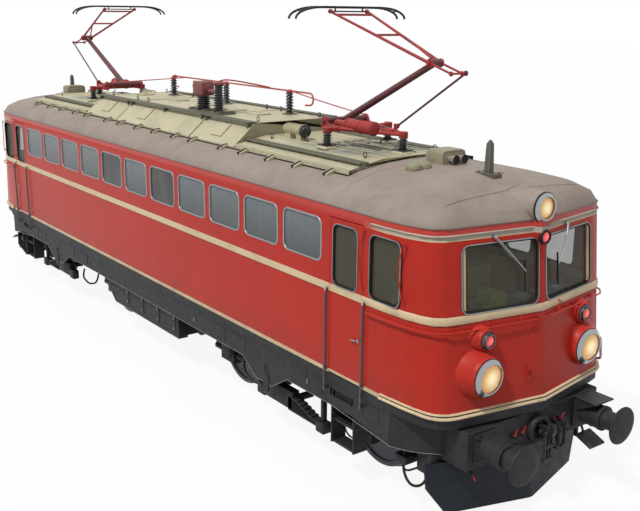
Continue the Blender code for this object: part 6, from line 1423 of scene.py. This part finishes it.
def make_bogie(end, s):
    """Coil springs, axle-box covers, brake gear, leaf springs and hoses over the frame's own sills."""
    coils, covers, cover_bolts, gear = [], [], [], []
    box_height, turn = WHEEL_RADIUS, np.arange(6) * math.tau / 6
    for wheel in SIGNS:
        axle = PIVOT_X + HALF_WHEELBASE * wheel
        for x in (axle - 0.34, axle + 0.34):
            coils += [helix((x, 1.04 * y_sign), 0.078, 0.61, 0.812, 4.5, 0.0125) for y_sign in SIGNS]
            covers.append(turned([(0.598, 0.092), (0.612, 0.092), (0.618, 0.07)], (x, 1.04, 0), "Z"))
            covers.append(turned([(0.52, 0.022), (0.54, 0.028), (0.56, 0.028)], (x, 1.04, 0), "Z", SMALL))
        cover = [(0, 0.145), (0.020, 0.140), (0.030, 0.12), (0.034, 0.06), (0.034, 0.002)]
        covers.append(turned(cover, (axle, 1.13, box_height), "Y", ROUND))
        for y in (-1.156, 1.156):
            ring = [(axle + 0.118 * math.cos(a), y, box_height + 0.118 * math.sin(a)) for a in turn]
            cover_bolts += bolts(ring, "Y", 0.013, 0.012)
        covers.append(bar((axle - 0.192, 1.09, 0.438), (axle + 0.192, 1.132, 0.47), 0.006))
        inner = axle - 0.665 * wheel
        gear += [
            rod((inner, 0.77, 0.80), (axle - 0.78 * wheel, 0.80, 0.97), 0.018),
            rod((inner, 0.74, 0.56), (PIVOT_X, 0.74, 0.50), 0.016),
            rod((axle + 0.60 * wheel, 0.755, 0.84), (axle + 0.70 * wheel, 0.755, 0.22), 0.014),
            bar((axle + 0.55 * wheel, 0.72, 0.82), (axle + 0.66 * wheel, 1.00, 0.87), 0.008),
        ]
    line = [(1.95, 1.125, 0.93), (3.0, 1.125, 0.90), (3.3, 1.125, 0.99),
            (4.5, 1.125, 0.99), (4.8, 1.125, 0.90), (5.9, 1.125, 0.93)]
    gear.append(pipe(softened(line, 0.1), 0.014))
    gear += [bar((x, 1.09, 0.86), (x + 0.18, 1.15, 1.02), 0.012) for x in (3.42, 4.20)]
    gear.append(turned([(1.098, 0.05), (1.15, 0.05), (1.155, 0.03)], (PIVOT_X, 0, 0.86), "Y"))
    gear = both_sides(gear) + [crossbar((x, 0, 0.66), 0.85, 0.024) for x in (2.9, 4.9)]

    low, high = 1.28, 1.41
    leaves = [
        bar((3.50, low, 0.44), (3.70, high, 0.62), 0.02),
        bar((3.68, low, 0.47), (4.40, high, 0.745), 0.012),
        bar((4.97, low, 0.40), (5.15, 1.43, 0.555), 0.02),
        bar((5.03, 1.32, 0.54), (5.095, 1.385, 0.975), 0.008),
        bar((5.03, 1.05, 0.86), (5.095, 1.36, 0.93), 0.008),
    ]
    for k in range(7):
        z = 0.66 - 0.026 * k
        leaves.append(bar((4.30, low, z - 0.05), (4.52 + 0.085 * k, high, z), 0.004))
    leaves += [bar((x - 0.03, 1.05, 0.60), (x + 0.03, 1.30, 0.69), 0.008) for x in (3.86, 4.40)]
    thick = [(2.75, 1.14, 0.80), (2.80, 1.20, 0.50), (3.10, 1.24, 0.42), (3.50, 1.20, 0.46),
             (3.55, 1.14, 0.62)]
    thin = [(5.25, 1.10, 0.90), (5.26, 1.18, 0.56), (5.40, 1.20, 0.42), (5.62, 1.16, 0.44),
            (5.66, 1.10, 0.60)]
    leaves += [pipe(softened(thick, 0.12), 0.018), pipe(softened(thin, 0.10), 0.012)]
    for name, forms, finish in (("bogie_leaf_springs", both_sides(leaves), "under"),
                                ("bogie_springs", coils, "under"),
                                ("axle_box_covers", both_sides(covers) + cover_bolts, "charcoal"),
                                ("brake_gear", gear, "under")):
        made(f"{name}_{end}", at_end(forms, s, s), finish, f"bogie_{end}")


def make_skirt_fittings(side, y_sign):
    """Edge lines, cover plates, locker latches and step treads along one skirt, with a black plate behind
    the slot and a black disc in the jacking hole, painted as the shade inside them.
    """
    place = side_place(y_sign)
    face = SKIRT_DEPTH
    edges, plates, latches, treads, hole_shades = [], [], [], [], []
    path = np.array([(0.0, 0.99), (3.325, 0.99), (3.695, 0.76), (4.105, 0.76), (4.475, 0.99), (5.44, 0.99),
                     (6.60, 0.882)])
    edges.append(pipe(place(path[:, 0], path[:, 1] + 0.004, face), 0.0055, 6))
    for x, width in ((2.6, 0.5), (3.2, 0.42), (4.75, 0.38), (5.15, 0.26), (6.25, 0.30)):
        plates.append(plate(round_panel((x, 1.16), (width / 2, 0.10), 0.02), face - 0.002, face + 0.004,
                            place))
        across = [x - width / 2 + 0.03, x + width / 2 - 0.03] * 2
        plates += bolts(place(across, [1.085, 1.085, 1.235, 1.235], face + 0.003), "Y", 0.010, 0.007)
    for height in (0.80, 0.49):
        low, high = (5.438, 1.298 * y_sign, height - 0.027), (5.912, 1.502 * y_sign, height + 0.001)
        treads.append(bar(low, high, 0.005))
    frame_section = [(-0.004, face - 0.002), (-0.002, face + 0.004), (0.008, face + 0.004),
                     (0.010, face - 0.002)]
    # A black plate behind the slot under the door: painted shade inside the slot.
    hole_shades.append(plate(round_rectangle((5.505, 1.13), (5.845, 1.22), 0.02, 4), face - 0.040, face - 0.030,
                       place))
    centre = (3.95, HALF_WIDTH * y_sign, 1.0)
    low, high = (face - 0.004) * y_sign, (face + 0.006) * y_sign
    plates.append(hoop([(low, 0.058), (high, 0.056), (high, 0.046), (low, 0.044)], centre, "Y"))
    # A black disc in the ring: painted shade inside the jacking hole.
    hole_shades.append(turned([(low, 0.046), ((face + 0.0015) * y_sign, 0.046)], centre, "Y"))
    bracket = [(3.90, 0.66), (4.02, 0.66), (4.035, 0.84), (4.005, 0.90), (3.915, 0.90), (3.885, 0.84)]
    plates.append(plate(bracket, face - 0.004, face + 0.014, place))
    edges, plates, hole_shades, treads = [both_ends(forms) for forms in (edges, plates, hole_shades, treads)]
    slot_edge = round_rectangle((5.50, 1.125), (5.85, 1.225), 0.02, 4)
    plates += [moulding(slot_edge * (x_sign, 1), frame_section, place) for x_sign in SIGNS]
    made(f"jacking_hole_shades_{side}", hole_shades, "black")
    for x in (-1.02, -0.42, 0.18, 0.78):
        plates.append(plate(round_panel((x, 0.79), (0.27, 0.17), 0.03), BOX_DEPTH - 0.002,
                            BOX_DEPTH + 0.006, place))
        for height in (0.70, 0.88):
            latch = round_panel((x + 0.225, height), (0.010, 0.03), 0.008)
            latches.append(plate(latch, BOX_DEPTH + 0.004, BOX_DEPTH + 0.018, place))
    for x in (-4.9, -2.0, 1.9, 4.95):
        latches.append(plate(round_panel((x, 1.135), (0.009, 0.035), 0.006), face, face + 0.010, place))
    edges.append(pipe(place([-1.9, -1.33, 1.15], [0.985, 0.556, 0.556], BOX_DEPTH), 0.007, 6))
    made(f"skirt_edges_{side}", edges, "edge")
    made(f"skirt_plates_{side}", plates, "charcoal")
    made(f"skirt_latches_{side}", latches, "silver")
    made(f"step_treads_{side}", treads, "tread")


def make_underfloor():
    """Straps on the air reservoir, and pipes along the floor."""
    strap = [(-0.02, 0.128), (-0.02, 0.136), (0.02, 0.136), (0.02, 0.128)]
    straps = [hoop(strap, (1.33, y, 0.74), "Y") for y in (-0.8, 0.0, 0.8)]
    straps += bolts([(1.33, y, 0.604) for y in (-0.8, 0.0, 0.8)], "Z", 0.018, 0.012)
    made("reservoir_straps", straps, "edge")
    line = [(-6.9, 0.48, 1.05), (-6.3, 1.2, 1.25), (-2.1, 1.2, 1.27), (2.0, 1.2, 1.27), (6.3, 1.2, 1.25),
            (6.9, 0.48, 1.05)]
    made("floor_pipes", both_sides([pipe(softened(line, 0.2), 0.02)]), "under")


# The cabs


def cushion(name, low, high, s):
    """A crowned pad: its outline is a superellipse that shrinks towards both faces, its upper face
    swells by a cosine both ways, and it is flat below."""
    low, high = np.array(low), np.array(high)
    centre, half = (low + high) / 2, (high - low) / 2
    t = np.arange(64) * math.tau / 64
    way = np.column_stack([np.cos(t), np.sin(t)])
    square = np.sign(way) * np.abs(way) ** 0.35
    levels = [(-1.0, 0.90), (-0.96, 0.95), (-0.6, 0.985), (0.0, 1.0), (0.45, 0.985), (0.62, 0.955),
              (0.66, 0.93), (0.70, 0.935)]
    turn = np.linspace(0.15, math.pi / 2 - 0.03, 9)
    levels += [(0.70 + 0.30 * math.sin(a), 0.93 * math.cos(a) ** 0.6 + 0.004) for a in turn]
    rings = []
    for rise, share in levels:
        pinch = 1 - 0.03 * np.cos(2 * t) ** 2 * (rise > -0.5)
        rings.append(level(centre[:2] + square * half[:2] * share * pinch[:, None],
                           centre[2] + half[2] * rise))
    made(name, at_end([lofted(rings)], s), "olive_cloth")


def swollen(form, centre, by):
    """A form pushed outwards along X by a share that falls from its centre as a cosine both ways."""
    points = form[0].copy()
    away = np.abs(points - centre)
    share = np.cos(away / away.max(0) * 1.4)
    points[:, 0] += np.sign(points[:, 0] - centre[0]) * by * share[:, 1] * share[:, 2]
    return points, form[1]


def make_cab(end, s):
    """Seats, desk panels with dials and levers, a wheel-shaped controller, cushions and lockers."""
    top = DESK_TOP
    for side, y in (("right", -0.62), ("left", 0.62)):
        cushion(f"seat_cushion_{end}_{side}", (5.80, y - 0.235, 1.955), (6.28, y + 0.235, 2.075), s)
        back = swollen(bar((5.765, y - 0.232, 2.03), (5.888, y + 0.232, 2.57), 0.035), (5.8265, y, 2.30),
                       0.018)
        made(f"seat_back_{end}_{side}", at_end([back], s), "olive_cloth")
        seams = [pipe([(5.892, y - 0.20, z), (5.9, y, z), (5.892, y + 0.20, z)], 0.004, 6)
                 for z in (2.19, 2.33)]
        made(f"seat_seams_{end}_{side}", at_end(seams, s), "cab_dark")
    desk = [bar((6.64, -1.10, top), (6.78, 1.10, top + 0.018), 0.006)]
    desk += both_sides([bar((6.80, y - 0.13, top - 0.002), (6.98, y + 0.13, top + 0.075), 0.012)
                        for y in (0.62, 0.95)])
    desk += [bar((6.80, y - 0.13, top - 0.002), (6.98, y + 0.13, top + 0.075), 0.012)
             for y in (-0.28, 0.30)]
    made(f"desk_panels_{end}", at_end(desk, s), "cab_dark")
    dial = [(0.070, 0.048), (0.082, 0.048), (0.084, 0.040), (0.079, 0.038)]
    knob = [(0.09, 0.006), (0.10, 0.017), (0.12, 0.017), (0.13, 0.006)]
    dials = [turned(dial, (6.89, y, top), "Z")
             for y in (-0.95, -0.69, -0.55, -0.28, 0.30, 0.55, 0.69, 0.95)]
    for y in (-0.42, 0.44, 0.10):
        dials.append(rod((6.72, y, top), (6.70, y, top + 0.10), 0.007))
        dials.append(turned(knob, (6.70, y, top), "Z", SMALL))
    made(f"desk_dials_{end}", at_end(dials, s), "silver")
    x, y = 6.66, -0.62
    rim = [(0.16 + 0.011 * math.sin(a), 0.15 + 0.011 * math.cos(a)) for a in np.arange(8) * math.tau / 8]
    wheel = [hoop(rim, (x, y, top), "Z"), rod((x, y, top - 0.01), (x, y, top + 0.15), 0.016)]
    for a in (0.5, 2.6, 4.7):
        start = (x - 0.15 * math.cos(a), y - 0.15 * math.sin(a), top + 0.16)
        wheel.append(rod(start, (x, y, top + 0.13), 0.006))
    made(f"controller_{end}", at_end(wheel, s), "black", slot="cab_paint")
    cushion(f"loose_cushion_{end}", (6.64, -0.26, 2.425), (6.90, 0.03, 2.60), s)
    cushion(f"low_cushion_{end}", (6.90, -0.48, 2.425), (7.12, -0.10, 2.50), s)
    wall = []
    for y, width in ((-1.05, 0.55), (-0.45, 0.5), (0.45, 0.5), (1.05, 0.55)):
        edge = y + width / 2
        wall.append(bar((5.198, y - width / 2, 1.55), (5.235, edge, 3.25), 0.008))
        wall.append(bar((5.23, edge - 0.06, 2.35), (5.25, edge - 0.03, 2.50), 0.006))
    made(f"cab_lockers_{end}", at_end(wall, s), "cab")


# Floor, light and camera

CAMERA_PLACE = (13.9377, -8.0727, 5.8707)
CAMERA_YAW, CAMERA_PITCH, CAMERA_ROLL = 2.5002, -0.2628, 0.0106
CAMERA_LENS = 50.955
FLOOR_REACH, FLOOR_GREY, FLOOR_GLOW, FLOOR_GLOW_SHARE = 150.0, 0.36, 1.14, 0.80
SKY_STRENGTH, SKY_COLOUR = 0.50, (0.95, 0.97, 1.0, 1)
SUN_STRENGTH, SUN_WIDTH, SUN_FROM = 2.4, math.radians(6), (0.07, -0.56, 0.83)


def make_camera():
    """The camera where the photograph was taken from, by its yaw, pitch and roll."""
    flat = math.cos(CAMERA_PITCH)
    ahead = Vector((flat * math.cos(CAMERA_YAW), flat * math.sin(CAMERA_YAW), math.sin(CAMERA_PITCH)))
    right = ahead.cross(Vector((0, 0, 1))).normalized()
    above = right.cross(ahead)
    tilt = Matrix.Rotation(CAMERA_ROLL, 3, -ahead)
    right, above = tilt @ right, tilt @ above
    camera = bpy.data.objects.new("camera", bpy.data.cameras.new("camera"))
    camera.data.lens = CAMERA_LENS
    camera.data.clip_end = 200
    turn = Matrix((right, above, -ahead)).transposed().to_4x4()
    camera.matrix_world = Matrix.Translation(CAMERA_PLACE) @ turn
    bpy.context.scene.collection.objects.link(camera)
    bpy.context.scene.camera = camera


def seen_rays(tree):
    """1 for rays that the camera sees straight, in a mirror or through glass, and 0 for light."""
    path = tree.nodes.new("ShaderNodeLightPath")
    total = path.outputs["Is Camera Ray"]
    for name in ("Is Glossy Ray", "Is Transmission Ray"):
        largest = tree.nodes.new("ShaderNodeMath")
        largest.operation = "MAXIMUM"
        tree.links.new(total, largest.inputs[0])
        tree.links.new(path.outputs[name], largest.inputs[1])
        total = largest.outputs[0]
    return total


def mixed_shaders(tree, share, first, second, output):
    """The first shader turning into the second by a share, as the tree's output."""
    mix = tree.nodes.new("ShaderNodeMixShader")
    for socket, value in zip(mix.inputs, (share, first.outputs[0], second.outputs[0])):
        tree.links.new(value, socket)
    tree.links.new(mix.outputs[0], output.inputs[0])


def make_floor():
    """A wide pale floor that the camera sees part lit and part plain white, so shadows stay soft."""
    mesh = bpy.data.meshes.new("floor")
    reach = FLOOR_REACH
    corners = [(-reach, -reach, 0), (reach, -reach, 0), (reach, reach, 0), (-reach, reach, 0)]
    mesh.from_pydata(corners, [], [(0, 1, 2, 3)])
    floor = bpy.data.objects.new("floor", mesh)
    floor.location.z = -0.001
    bpy.context.scene.collection.objects.link(floor)
    material = bpy.data.materials.new("floor_white")
    material.use_nodes = True
    tree = material.node_tree
    tree.nodes.clear()
    lit = tree.nodes.new("ShaderNodeBsdfDiffuse")
    lit.inputs["Color"].default_value = (FLOOR_GREY, FLOOR_GREY, FLOOR_GREY, 1)
    plain = tree.nodes.new("ShaderNodeEmission")
    plain.inputs["Strength"].default_value = FLOOR_GLOW
    share = tree.nodes.new("ShaderNodeMath")
    share.operation = "MULTIPLY"
    share.inputs[1].default_value = FLOOR_GLOW_SHARE
    tree.links.new(seen_rays(tree), share.inputs[0])
    mixed_shaders(tree, share.outputs[0], lit, plain, tree.nodes.new("ShaderNodeOutputMaterial"))
    mesh.materials.append(material)


def make_light():
    """A white sky and one soft high sun from the right-hand side."""
    world = bpy.data.worlds.new("studio")
    world.use_nodes = True
    tree = world.node_tree
    sky = tree.nodes["Background"]
    sky.inputs["Strength"].default_value = SKY_STRENGTH
    sky.inputs["Color"].default_value = SKY_COLOUR
    white = tree.nodes.new("ShaderNodeBackground")
    white.inputs["Color"].default_value = (1, 1, 1, 1)
    mixed_shaders(tree, seen_rays(tree), sky, white, tree.nodes["World Output"])
    bpy.context.scene.world = world
    sun = bpy.data.objects.new("sun", bpy.data.lights.new("sun", "SUN"))
    sun.data.energy = SUN_STRENGTH
    sun.data.angle = SUN_WIDTH
    sun.rotation_mode = "QUATERNION"
    sun.rotation_quaternion = Vector(SUN_FROM).to_track_quat("Z", "Y")
    bpy.context.scene.collection.objects.link(sun)


bpy.context.scene.view_settings.view_transform = "Standard"
for end, s in ENDS:
    make_lamps(end, s)
    make_windscreens(end, s)
    make_wipers(end, s)
    make_nose_fittings(end, s)
    make_pantograph(end, s)
    make_buffers(end, s)
    make_coupling(end, s)
    make_headstock(end, s)
    make_bogie(end, s)
    make_cab(end, s)
    for name in ("outer", "inner"):
        make_wheelset(end, name, s)
    for side, y_sign in (("right", -s), ("left", s)):
        make_cab_side(end, s, side, y_sign)
for side, y_sign in (("right", -1), ("left", 1)):
    make_side_windows(side, y_sign)
    make_skirt_fittings(side, y_sign)
make_hatch_fittings()
make_roof_fittings()
make_busbar()
make_breaker()
make_underfloor()
make_camera()
make_floor()
make_light()
